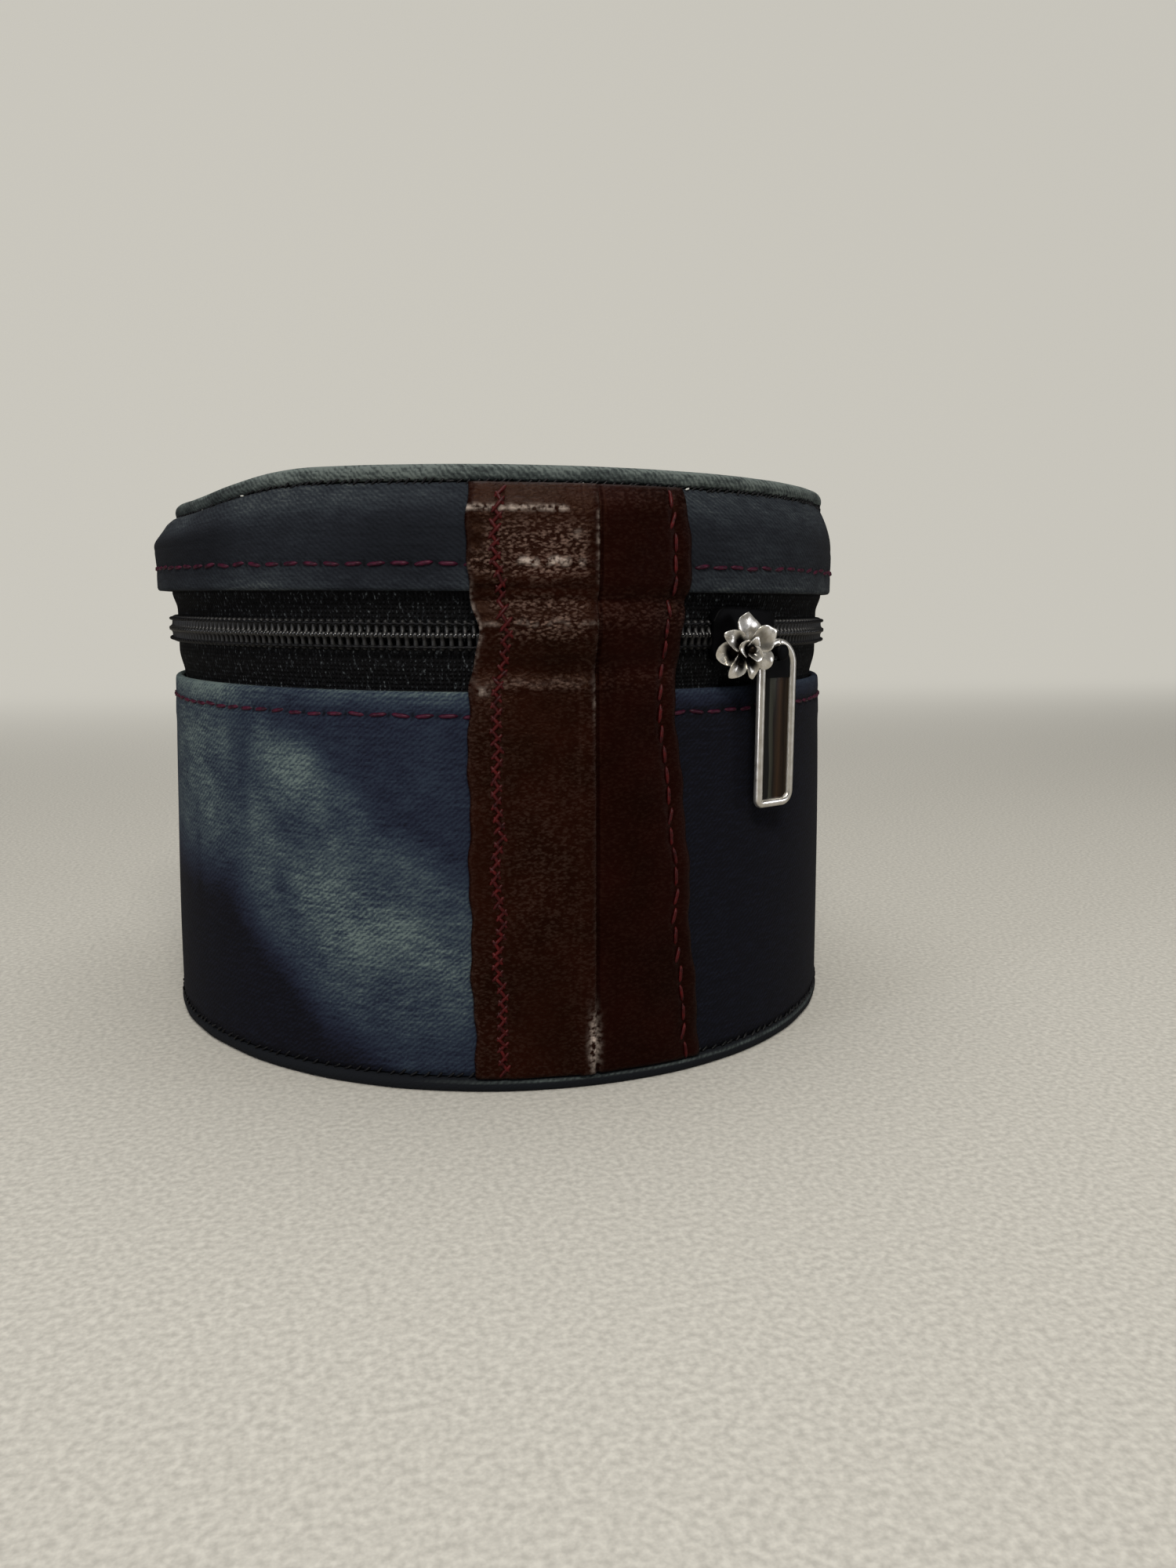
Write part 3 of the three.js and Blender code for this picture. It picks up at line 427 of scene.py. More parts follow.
def woven_tape(name):
    """Polyester zip tape, woven black: yarns 0.8 mm apart, with grey specks where single
    filaments stand up and catch the light."""
    material, tree = start_material(name)
    cloth = add(tree, "UVMap", uv_map="cloth").outputs[0]
    warp = add(tree, "TexWave", {"Vector": cloth, "Scale": band_scale(0.8), "Distortion": 0.8})
    weft = add(tree, "TexWave", {"Vector": cloth, "Scale": band_scale(0.8), "Distortion": 0.8},
               bands_direction="Y")
    yarns = add(tree, "Math", {
        0: warp.outputs["Fac"], 1: weft.outputs["Fac"],
    }, operation="MULTIPLY")
    slanted = add(tree, "Mapping", {
        "Vector": cloth, "Rotation": (0, 0, np.radians(30)), "Scale": (0.8, 1.6, 1),
    }).outputs[0]
    specks = add(tree, "TexNoise", {
        "Vector": slanted, "Scale": 0.9, "Detail": 3.0, "Roughness": 0.75,
    })
    mixed = add(tree, "Math", {0: yarns.outputs[0], 1: 0.08, 2: specks.outputs[0]},
                operation="MULTIPLY_ADD")
    tone = add(tree, "ValToRGB", {"Fac": mixed.outputs[0]},
               stops=[(0.5, "040405"), (0.59, "0C0C0E"), (0.65, "24272A"), (0.75, "585D5E")])
    relief = add(tree, "Bump", {"Height": yarns.outputs[0], "Strength": 0.8, "Distance": 0.0003})
    finish_material(tree, {
        "Base Color": tone.outputs[0], "Roughness": 0.8, "Normal": relief.outputs[0],
        "Specular IOR Level": 0.1,
    })
    return material


def moulded_nylon(name):
    """Nylon monofilament, coiled and heat-set: dull black, with a wet gleam on the heads that
    the slider has polished."""
    material, tree = start_material(name)
    place = add(tree, "TexCoord").outputs["Object"]
    haze = add(tree, "TexNoise", {"Vector": place, "Scale": 1200.0, "Detail": 2.0})
    polish = add(tree, "Attribute", attribute_name="polish").outputs["Fac"]
    gloss = add(tree, "MapRange", {"Value": polish, "To Min": 0.62, "To Max": 0.1})
    tone = add(tree, "ValToRGB", {"Fac": haze.outputs[0]}, stops=[(0.3, "030304"), (0.7, "0A0A0B")])
    finish_material(tree, {
        "Base Color": tone.outputs[0], "Roughness": gloss.outputs[0], "Specular IOR Level": 0.85,
    })
    return material


def stoved_enamel(name):
    """Zinc alloy, die-cast and enamelled black: an even dark skin with a faint orange peel."""
    material, tree = start_material(name)
    place = add(tree, "TexCoord").outputs["Object"]
    peel = add(tree, "TexNoise", {"Vector": place, "Scale": 500.0, "Detail": 3.0})
    tone = add(tree, "ValToRGB", {"Fac": peel.outputs[0]}, stops=[(0.3, "030304"), (0.7, "08080A")])
    relief = add(tree, "Bump", {"Height": peel.outputs[0], "Strength": 0.15, "Distance": 0.0003})
    finish_material(tree, {
        "Base Color": tone.outputs[0], "Roughness": 0.5, "Normal": relief.outputs[0],
        "Specular IOR Level": 0.05,
    })
    return material


def plated_nickel(name, bright, dull, rough, dents, mirror):
    """Zinc alloy, die-cast and nickel-plated: a pale silver, with the faint waviness of the
    casting, and darkened in the hollows of the flower, partly by blackening and partly as a
    painted shade. Below 1 the mirror share stands for a blasted skin that scatters some of the
    light, which leaves it pale from every side."""
    material, tree = start_material(name)
    place = add(tree, "TexCoord").outputs["Object"]
    waves = add(tree, "TexNoise", {"Vector": place, "Scale": 260.0, "Detail": 3.0})
    film = add(tree, "TexNoise", {"Vector": place, "Scale": 700.0, "Detail": 4.0})
    tone = add(tree, "ValToRGB", {"Fac": film.outputs[0]}, stops=[(0.3, dull), (0.62, bright)])
    gloss = add(tree, "MapRange", {
        "Value": film.outputs[0], "To Min": rough, "To Max": rough + 0.12,
    })
    relief = add(tree, "Bump", {"Height": waves.outputs[0], "Strength": dents, "Distance": 0.0004})
    # The hollow mark darkens the flower's hollows towards 14100C: blackening and painted shade
    hollow = add(tree, "Attribute", attribute_name="hollow").outputs["Fac"]
    blackened = add(tree, "Mix", {
        "Factor": hollow, "A": tone.outputs[0], "B": linear("14100C"),
    }, data_type="RGBA")
    finish_material(tree, {
        "Base Color": blackened.outputs["Result"], "Metallic": mirror,
        "Roughness": gloss.outputs[0], "Normal": relief.outputs[0],
    })
    return material


def nickel_with_painted_reflection(name):
    """Nickel in the pull's sunk panel, lacquered, with a painted reflection: smooth, near black
    down the left, with a grey-green and a brown streak down the right, painted reflections of
    the dark leather and the room."""
    material, tree = start_material(name)
    across = add(tree, "Attribute", attribute_name="across").outputs["Fac"]
    place = add(tree, "TexCoord").outputs["Object"]
    drawn = add(tree, "Mapping", {"Vector": place, "Scale": (400, 400, 40)}).outputs[0]
    film = add(tree, "TexNoise", {"Vector": drawn, "Scale": 1.0, "Detail": 3.0})
    # The painted reflection: streaks drawn along the pull, placed across the panel by the mark
    drift = add(tree, "Math", {0: film.outputs[0], 1: 0.36, 2: across}, operation="MULTIPLY_ADD")
    tone = add(tree, "ValToRGB", {"Fac": drift.outputs[0]}, stops=[
        (0.5, "070708"), (0.56, "44453C"), (0.65, "35352C"), (0.7, "140D07"), (0.84, "3C2A1A"),
        (0.94, "1C120A"), (1.0, "30261C"),
    ])
    finish_material(tree, {
        "Base Color": tone.outputs[0], "Metallic": 0.6, "Roughness": 0.22,
    })
    return material


def plain_lining(name):
    """Cotton lining, plain-woven and dyed near black: even over-and-under threads 0.6 mm apart."""
    material, tree = start_material(name)
    place = add(tree, "TexCoord").outputs["Object"]
    scaled = add(tree, "Mapping", {"Vector": place, "Scale": (1000, 1000, 1000)}).outputs[0]
    weave = add(tree, "TexVoronoi", {"Vector": scaled, "Scale": 1.6, "Randomness": 0.25})
    slub = add(tree, "TexNoise", {"Vector": scaled, "Scale": 0.3, "Detail": 3.0})
    mixed = add(tree, "Math", {
        0: weave.outputs["Distance"], 1: slub.outputs[0],
    }, operation="MULTIPLY")
    tone = add(tree, "ValToRGB", {"Fac": mixed.outputs[0]},
               stops=[(0.1, "2A2B33"), (0.4, "101116")])
    relief = add(tree, "Bump", {
        "Height": weave.outputs["Distance"], "Strength": 0.5, "Distance": 0.0002,
    }, invert=True)
    finish_material(tree, {
        "Base Color": tone.outputs[0], "Roughness": 0.85, "Normal": relief.outputs[0],
        "Sheen Weight": 0.2,
    })
    return material


def pressed_board(name):
    """Greyboard, pressed from recycled fibre: a matt grey-brown with flecks and cut edges."""
    material, tree = start_material(name)
    place = add(tree, "TexCoord").outputs["Object"]
    fibre = add(tree, "TexNoise", {
        "Vector": place, "Scale": 900.0, "Detail": 6.0, "Roughness": 0.7,
    })
    tone = add(tree, "ValToRGB", {"Fac": fibre.outputs[0]},
               stops=[(0.3, "7A6C56"), (0.5, "9A8A70"), (0.75, "B5A78E")])
    relief = add(tree, "Bump", {"Height": fibre.outputs[0], "Strength": 0.3, "Distance": 0.0002})
    finish_material(tree, {
        "Base Color": tone.outputs[0], "Roughness": 0.95, "Normal": relief.outputs[0],
    })
    return material


def carded_wadding(name):
    """Polyester wadding, carded and bonded: matt white fibres in soft clumps."""
    material, tree = start_material(name)
    place = add(tree, "TexCoord").outputs["Object"]
    fibres = add(tree, "TexNoise", {
        "Vector": place, "Scale": 400.0, "Detail": 8.0, "Distortion": 1.5,
    })
    tone = add(tree, "ValToRGB", {"Fac": fibres.outputs[0]},
               stops=[(0.3, "BEB9AE"), (0.7, "E8E4DA")])
    relief = add(tree, "Bump", {"Height": fibres.outputs[0], "Strength": 0.7, "Distance": 0.0006})
    finish_material(tree, {
        "Base Color": tone.outputs[0], "Roughness": 1.0, "Normal": relief.outputs[0],
        "Sheen Weight": 0.3,
    })
    return material


def plain_stage(name, colour, fleck):
    """Matt paper for the floor and backdrop: an even tone with a very fine tooth. Behind the
    object the camera sees it brighter, and shiny surfaces see all of it darker."""
    material, tree = start_material(name)
    place = add(tree, "TexCoord").outputs["Object"]
    tooth = add(tree, "TexNoise", {"Vector": place, "Scale": 900.0, "Detail": 2.0})
    tone = add(tree, "ValToRGB", {"Fac": tooth.outputs[0]}, stops=[(0.3, fleck), (0.7, colour)])
    path = add(tree, "LightPath")
    dimmed = add(tree, "Mix", {
        "Factor": path.outputs["Is Glossy Ray"], "A": tone.outputs[0], "B": linear("8E8A82"),
    }, data_type="RGBA")
    paper = add(tree, "BsdfPrincipled", {
        "Base Color": dimmed.outputs["Result"], "Roughness": 0.95, "Specular IOR Level": 0.1,
    })
    glow = add(tree, "Emission", {"Color": linear(colour), "Strength": 1.12})
    apart = add(tree, "SeparateXYZ", {"Vector": place})
    behind = add(tree, "MapRange", {
        "Value": apart.outputs["Y"], "From Min": 0.15, "From Max": 1.0, "To Max": 0.85,
    }, interpolation_type="SMOOTHSTEP")
    share = add(tree, "Math", {
        0: path.outputs["Is Camera Ray"], 1: behind.outputs[0],
    }, operation="MULTIPLY")
    mixed = add(tree, "MixShader", {0: share.outputs[0], 1: paper.outputs[0], 2: glow.outputs[0]})
    add(tree, "OutputMaterial", {"Surface": mixed.outputs[0]})
    return material


BODY_TONES = [(0.0, "0B0B12"), (0.2, "191D2C"), (0.45, "27303D"), (0.7, "3D484E"), (1.0, "5E6B69")]
LID_TONES = [(0.0, "0E1015"), (0.3, "1B1E24"), (0.6, "2A2F34"), (1.0, "4B5050")]
TRIM_TONES = [(0.0, "14161A"), (0.35, "262A2B"), (0.7, "404746"), (1.0, "5F6764")]
body_cloth = washed_denim("denim_body_washed_twill", BODY_TONES)
lid_cloth = washed_denim("denim_lid_washed_twill", LID_TONES)
trim_cloth = washed_denim("denim_trim_faded_twill", TRIM_TONES)
left_hide = glazed_leather("leather_left_grained_hide", "130401", "1C0703", "80695E", "E6B496",
                           1.0, 0.27, 0.13)
right_hide = glazed_leather("leather_right_smooth_hide", "100301", "180503", "6A5048", "C08468",
                            0.6, 0.4, 0.12)
crimson = sewing_thread("thread_crimson_polyester", "1E0614", "461128")
red_thread = sewing_thread("thread_red_polyester", "200303", "4A0A0A")
black_thread = sewing_thread("thread_black_polyester", "040405", "141417")
# Pale thread for a few stitches on the top seam, which stand for its glints: painted highlights
painted_glint_thread = sewing_thread("thread_pale_glints", "8A8C88", "D8D8D2")
tape_cloth = woven_tape("zip_tape_woven_polyester")
nylon = moulded_nylon("zip_coil_heat_set_nylon")
enamel = stoved_enamel("enamel_black_die_cast_zinc")
cast_nickel = plated_nickel("nickel_cast_flower", "FAF7F0", "C9C2B4", 0.2, 0.1, 0.8)
smooth_nickel = plated_nickel("nickel_polished_pull", "F2EFE8", "DCD7CC", 0.24, 0.03, 0.9)
panel_nickel_painted_reflection = nickel_with_painted_reflection("nickel_recess_painted_reflection")
# Dark brown nickel for the flower's middle: a painted shade with a brown painted reflection
painted_shade_bud = plated_nickel("nickel_bud_painted_shade", "2A241E", "0E0B08", 0.34, 0.04, 1.0)
lining_cloth = plain_lining("lining_plain_weave_cotton")
board_grey = pressed_board("greyboard_pressed")
wadding = carded_wadding("wadding_carded_polyester")

CARRIED = {
    "bottom_board": board_grey, "body_board": board_grey, "body_padding": wadding,
}
for name, material in CARRIED.items():
    slots = frame["nodes"][name].data.materials
    slots.clear()
    slots.append(material)


# ---------------------------------------------------------------- denim

STITCH_PITCH = 4.4
BODY_STITCH_Z, LID_STITCH_Z = 70.6, 97.7
AROUND = 2 * np.pi
BODY_STITCHES = int(round(AROUND * HEM_RADIUS / STITCH_PITCH))
LID_STITCHES = int(round(AROUND * LID_RADIUS / STITCH_PITCH))
COLUMNS = 720

# Islands in the faded band as angle in degrees, height, half width, half height and strength
FADED_ISLANDS = [
    (-68, 60, 9, 11, 0.24), (-43, 59, 4.5, 7, 0.2), (-49, 46, 4, 10, 0.06), (-37, 36, 5, 6, 0.28),
    (-30, 30, 5, 5, 0.28), (-24, 32, 4, 6, 0.14), (-18, 24, 5, 6, 0.22), (-36, 27, 4, 5, 0.14),
    (-28, 16, 5, 5, 0.06), (-62, 47, 7, 10, 0.06),
]
DARK_FOLDS = [(-54, 56, 2.0, 12, 0.16), (-55, 38, 3.0, 8, 0.08), (-67, 45, 1.3, 14, 0.1),
              (-42, 47, 3.0, 4, 0.08)]
BAND_FOOT, BAND_TOP, BAND_SLOPE = 37.0, 58.0, 1.15


def body_wear(angle, z):
    """How far the dye is worn off: a faded band that slants down from the left to the strap,
    with paler islands and darker folds as slanted bells, and on the far sides of the drum
    waves of the same kind."""
    turned = np.degrees((angle + np.pi) % AROUND - np.pi)
    turned = turned + 2.2 * ripple(angle, z, 17, (9, 40), 35.0)

    def patches(places, slant):
        return sum(
            strength * bell(turned + slant * (z - high), place, wide) * bell(z, high, tall)
            for place, high, wide, tall, strength in places
        )

    foot = BAND_FOOT - BAND_SLOPE * np.maximum(turned + 58, 0)
    top = BAND_TOP - (turned + 36)
    inside = smooth((z - foot + 7) / 14) * (1 - 0.52 * smooth((z - top + 4) / 10))
    band = 0.5 * inside * smooth((-4 - turned) / 12) * (1 - 0.35 * smooth((17 - z) / 10))
    worn = band + patches(FADED_ISLANDS, 0.2) - patches(DARK_FOLDS, 0.0)
    behind = smooth((np.abs(turned + 5) - 88) / 25)
    waves = 0.5 + ripple(angle, z, 21, (3, 11), 70.0)
    return np.clip(0.02 + worn * (1 - behind) + behind * 0.6 * np.clip(waves, 0, 1), 0, 1)


def lid_wear_and_light(angle, z):
    """The lid's tone: darkest half way up, lighter towards its hem, and lighter towards its seam,
    more on the slumped left side, as painted light on the crown.
    """
    clouds = 0.5 + 1.2 * ripple(angle, z, 31, (3, 12), 50.0)
    right_side = 0.1 * smooth((np.sin(angle) + 0.1) / 0.5)
    # high: painted light on the crown under the seam, and a lighter band above the hem
    high = (0.26 + 0.14 * slack_side(angle)) * smooth((z - 104) / 6) + 0.12 * smooth((99 - z) / 2)
    return np.clip(0.08 + 0.2 * np.clip(clouds, 0, 1) + high + right_side, 0, 1)


def sewn(angle, z, row, count):
    """Depth of the puckers along a row of stitches: deepest at each needle hole, and gone a
    millimetre and a half above and below the row."""
    along = 0.5 + 0.5 * np.cos(count * angle)
    return (0.1 + 0.16 * along**3) * bell(z, row, 0.9)


def needle_hole_shade(angle, z, row, count):
    """How dark the needle holes are drawn, a painted shade: a narrow spot where two stitches meet.
    """
    return bell(z, row, 0.62) * np.clip(np.cos(count * angle), 0, 1) ** 7


def wall_cloth(name, profile, outside, disturb, wear, hole_shade, settle=None):
    """A cloth wall as a closed profile of radius and height, turned round the drum. Its outer
    points are moved in or out by disturb, a function of angle and height in mm, and all of
    them by settle."""
    angle = np.linspace(0, AROUND, COLUMNS, endpoint=False)[None]
    radius, z = profile[:, :1], profile[:, 1:]
    moved = radius + np.where(outside[:, None], disturb(angle, z), 0)
    grid = drum(angle, moved, z + 0 * angle)
    grid = settle(grid) if settle else grid
    run = np.concatenate([[0], np.cumsum(np.hypot(*np.diff(profile, axis=0).T))])
    run = np.append(run, run[-1] + DENIM) + profile[0, 1]
    arc = np.linspace(0, AROUND * HEM_RADIUS, COLUMNS + 1)
    uv = np.stack(np.meshgrid(arc, run), -1)
    marks = {"wear": wear(angle, z + 0 * angle), "hole_shade": hole_shade(angle, z + 0 * angle)}
    return grid_mesh(name, grid, uv, True, True, marks)


def folded_edge(radius, z, turn, steps=7):
    """The half round of a turned-in edge, from the outer face over to the inner one."""
    a = np.linspace(0, np.pi, steps)
    return np.stack([radius - DENIM + DENIM * np.cos(a), z + turn * DENIM * np.sin(a)], -1)


def body_profile():
    """Outer face upwards, over the hem's fold and down inside to the foot."""
    low = np.arange(WALL_FOOT, 66.0, 1.5)
    fine = np.linspace(66.0, HEM_TOP - DENIM, 19)[:-1]
    z = np.concatenate([low, fine])
    outer = np.stack([body_radius(z), z], -1)
    fold = folded_edge(HEM_RADIUS, HEM_TOP - DENIM, 1)
    turn_end = HEM_TOP - HEM_DEPTH
    inside = np.array([
        [body_radius(turn_end) - 2 * DENIM, turn_end],
        [body_radius(turn_end) - DENIM, turn_end - 0.1],
        [body_radius(30) - DENIM, 30],
        [body_radius(WALL_FOOT) - DENIM, WALL_FOOT],
    ])
    return np.concatenate([outer, fold, inside]), len(outer) + 3


def lid_profile():
    """Outer face downwards from the top seam, round the hem's fold and up inside."""
    z = np.concatenate([np.linspace(TOP_SEAM - LAYER_GAP, LID_SHOULDER, 16)[:-1],
                        np.linspace(LID_SHOULDER, LID_EDGE + DENIM, 21)[:-1]])
    outer = np.stack([lid_radius(z), z], -1)
    fold = folded_edge(LID_RADIUS, LID_EDGE + DENIM, -1)
    turn_end = LID_EDGE + HEM_DEPTH
    top = np.linspace(LID_SHOULDER, TOP_SEAM - LAYER_GAP, 8)
    inside = np.concatenate([
        [[LID_RADIUS - 2 * DENIM, turn_end], [LID_RADIUS - DENIM, turn_end + 0.1]],
        np.stack([lid_radius(top) - DENIM, top], -1),
    ])
    return np.concatenate([outer, fold, inside]), len(outer) + 3


def body_disturbed(angle, z):
    """Slack of the body's cloth: a slow wave, the step of the hem's turned edge and the
    puckers of its stitches."""
    slack = 0.16 * ripple(angle, z, 5, (3, 12), 55.0)
    step = 0.14 * smooth((z - (HEM_TOP - HEM_DEPTH) + 0.8) / 1.4)
    rope = 0.1 * bell(z, 72.6, 1.2) * ripple(angle, z * 6, 8, (30, 70), 40.0)
    return slack + step + rope - sewn(angle, z, BODY_STITCH_Z, BODY_STITCHES)


def lid_disturbed(angle, z):
    """Slack of the lid's cloth: dents under the top seam, the hem's step and its puckers, and
    the looser left side."""
    slack = 0.22 * ripple(angle, z, 6, (3, 14), 30.0) * smooth((TOP_SEAM - z) / 4)
    gathers = 0.12 * ripple(angle, z, 9, (40, 90), 30.0) * smooth((z - 107) / 4)
    step = 0.14 * smooth((LID_EDGE + HEM_DEPTH - z + 0.6) / 1.4)
    loose = 0.9 * slack_side(angle)
    return slack + gathers + step + loose - sewn(angle, z, LID_STITCH_Z, LID_STITCHES)


def hem_wear(z, edge, reach):
    """The rubbed edge of a hem, fading out over a reach in mm."""
    return np.clip(1 - np.abs(z - edge) / reach, 0, 1)


profile, outer_count = body_profile()
body_denim = wall_cloth(
    "body_denim_wall", profile, np.arange(len(profile)) < outer_count, body_disturbed,
    lambda a, z: np.clip(body_wear(a, z) + 0.34 * hem_wear(z, HEM_TOP, 4.0), 0, 1),
    lambda a, z: needle_hole_shade(a, z, BODY_STITCH_Z, BODY_STITCHES),
)
show(body_denim, body_cloth, "base", ["body_denim"])

profile, outer_count = lid_profile()
lid_denim = wall_cloth(
    "lid_denim_wall", profile, np.arange(len(profile)) < outer_count, lid_disturbed,
    lambda a, z: np.clip(lid_wear_and_light(a, z) + 0.2 * hem_wear(z, LID_EDGE, 4.0), 0, 1),
    lambda a, z: needle_hole_shade(a, z, LID_STITCH_Z, LID_STITCHES), slumped,
)
show(lid_denim, lid_cloth, "lid", ["lid_denim"])


def disc_cloth(name, face, up, rim, turn_in, seed, tone):
    """A cloth disc that wraps a board: flat face, round welt of a rim, and the edge turned in.
    up is 1 where the turned edge is above the face. The rim waves by a fifth of a mm. A painted
    highlight lightens the rim's upper edge."""
    round_by = RIM_HEIGHT / 2 - 0.15
    a = np.linspace(-np.pi / 2, np.pi / 2, 13)
    bulge_r = rim - round_by + round_by * np.cos(a)
    bulge_h = RIM_HEIGHT / 2 + (RIM_HEIGHT / 2) * np.sin(a)
    flat_r = np.linspace(0.05, rim - round_by - 1, 24)
    outer = np.concatenate([
        np.stack([flat_r, 0 * flat_r], -1),
        np.stack([bulge_r, bulge_h], -1),
        [[rim - turn_in, RIM_HEIGHT], [rim - turn_in, RIM_HEIGHT - RIM_COVER],
         [rim - RIM_COVER - 0.5, RIM_HEIGHT - RIM_COVER], [rim - RIM_COVER - 0.5, RIM_COVER],
         [0.05, RIM_COVER]],
    ])
    angle = np.linspace(0, AROUND, COLUMNS, endpoint=False)[None]
    radius, height = outer[:, :1], outer[:, 1:]
    near_rim = smooth((radius - rim + 4) / 3) * (height < RIM_HEIGHT - 0.1)
    wave = near_rim * 0.14 * ripple(angle, height, seed, (5, 40), 9.0)
    if up > 0:
        wave = wave + near_rim * 0.9 * smooth((np.cos(angle) - 0.5) / 0.5)
    grid = drum(angle, radius + wave, face + up * height + 0 * angle)
    if up < 0:
        proud = 0.45 * bell(height, 0.5, 1.0) * bell(radius, rim - 1.0, 3.0)
        grid[..., 2] += proud * (0.5 + 0.5 * np.cos(angle))
        grid = slumped(grid)
    flat = (radius < rim - 2) & (height < 0.3)
    arc = angle * rim
    across = np.where(flat, grid[..., 0], arc + 0 * radius)
    along = np.where(flat, grid[..., 1], height * 1.0 + 0 * angle)
    across = np.concatenate([across, np.where(flat, grid[:, :1, 0], AROUND * rim)], 1)
    along = np.concatenate([along, along[:, :1]], 1)
    uv = np.stack([across, along], -1)
    outwards = smooth((radius - 20) / 40)
    sunk = 0.18 * smooth((-np.sin(angle) - 0.5) / 0.4) * (up < 0) * outwards
    inner = 0.3 * (1 - smooth((radius - rim + 6) / 4)) * (up < 0)
    # edge: a painted highlight along the top of the welt, and on the base a line along its upper
    # edge, brightest at the front right
    edge = 0.25 * bell(height, 0.3, 0.5) * near_rim
    if up > 0:
        edge = 0.8 * bell(height, 2.05, 0.35) * near_rim * smooth((np.cos(angle - 0.4) - 0.6) / 0.3)
    waves = 0.2 * np.clip(ripple(angle, radius, seed + 1, (2, 7), 60.0), 0, 1)
    # The wear mark: the disc's tone, the painted highlight, darker on the sunk left and further in,
    # and random waves
    rubbed = tone + edge - sunk - inner + waves * outwards
    marks = {"wear": rubbed + 0 * radius, "hole_shade": 0 * grid[..., 0]}
    return grid_mesh(name, grid, uv, False, True, marks)


show(disc_cloth("base_disc_denim", 0.0, 1, BASE_RIM_RADIUS, BASE_TURN_IN, 41, -0.2),
     trim_cloth, "base", ["bottom_denim"])
# The top disc's tone is set lighter than the base's, partly painted light from above
show(disc_cloth("top_disc_denim", TOP_FACE, -1, TOP_RIM_RADIUS, TOP_TURN_IN, 43, 0.72),
     trim_cloth, "lid", ["top_denim"])


# ---------------------------------------------------------------- stitches


def stitches(name, middle, along, out, length, width, sag=0.3):
    """Short lengths of thread, one a stitch: a round section that swells along a sine and
    dips into its needle holes. middle, along and out are rows of points and directions."""
    t = np.linspace(-1, 1, 7)[:, None]
    a = np.linspace(0, AROUND, 6, endpoint=False)[None]
    swell = np.sqrt(np.clip(1 - (t * 0.97) ** 4, 0, 1)) * width / 2
    along = along / np.linalg.norm(along, axis=-1, keepdims=True)
    across = np.cross(out, along)
    across = across / np.linalg.norm(across, axis=-1, keepdims=True)
    out = np.cross(along, across)
    run = (t * length / 2 + 0 * a)[None, ..., None] * along[:, None, None]
    side = (swell * np.cos(a))[None, ..., None] * across[:, None, None]
    lift = (swell * np.sin(a) - sag * t**4)[None, ..., None] * out[:, None, None]
    points, faces = joined(middle[:, None, None] + run + side + lift)
    return make_mesh(name, points, faces)


def hem_row(name, z, radius, count, seed, material, body):
    """A row of stitches round a hem, each a little turned and shifted as sewn by hand. radius
    is the cloth's, a function of angle and height."""
    draw = np.random.default_rng(seed)
    angle = (np.arange(count) + 0.5) * AROUND / count
    height = z + draw.normal(0, 0.1, count)
    middle = drum(angle, radius(angle, z) + 0.1, height)
    out = drum(angle, 1.0, 0.0)
    along = np.cross([0, 0, 1], out) + np.outer(draw.normal(0.03, 0.09, count), [0, 0, 1])
    long = AROUND * HEM_RADIUS / count * 0.8
    mesh = stitches(name, middle, along, out, long, 0.8)
    return show(mesh, material, body)


hem_row("body_hem_stitches", BODY_STITCH_Z, lambda a, z: body_radius(z), BODY_STITCHES, 3,
        crimson, "base")
hem_row("lid_hem_stitches", LID_STITCH_Z, lambda a, z: LID_RADIUS + 0.9 * slack_side(a),
        LID_STITCHES, 4, crimson, "lid")


def seam_row(name, z, radius, count, seed, material, body, keep, long, lean, width):
    """Hand stitches that draw a disc's rim to the wall, a share of them kept."""
    draw = np.random.default_rng(seed)
    angle = (np.arange(count) + draw.uniform(-0.2, 0.2, count)) * AROUND / count
    angle = angle[draw.uniform(0, 1, count) < keep]
    count = len(angle)
    middle = drum(angle, radius + draw.uniform(-0.1, 0.15, count), z + draw.normal(0, 0.12, count))
    middle = slumped(middle) if body == "lid" else middle
    out = drum(angle, 1.0, 0.0)
    along = np.cross([0, 0, 1], out) + np.outer(draw.normal(lean, 0.25, count), [0, 0, 1])
    mesh = stitches(name, middle, along, out, long, width, 0.2)
    return show(mesh, material, body)


SEAM_RADIUS, GLINT_RADIUS = 74.1, 74.45
seam_row("top_seam_stitches", TOP_SEAM - 0.1, SEAM_RADIUS, 300, 12, black_thread, "lid",
         1.0, 1.9, 0.8, 0.5)
# A few pale stitches among the black ones: painted glints
seam_row("top_seam_glints", TOP_SEAM - 0.25, GLINT_RADIUS, 220, 15, painted_glint_thread, "lid",
         0.09, 0.9, 0.1, 0.34)
seam_row("base_seam_stitches", WALL_FOOT, body_radius(0.0) + 0.1, 210, 13, black_thread, "base",
         1.0, 1.9, 0.8, 0.5)


# ---------------------------------------------------------------- strap

STRAP_STATIONS = np.array([
    [0.0, 0.97, 1.215], [37.5, 1.01, 1.07], [75.0, 1.015, 0.92],
    [85.1, 0.9, 0.935], [93.0, 1.0, 1.005], [112.2, 1.0, 0.97],
])
LEFT_ROW, RIGHT_ROW = 5.2, 3.6


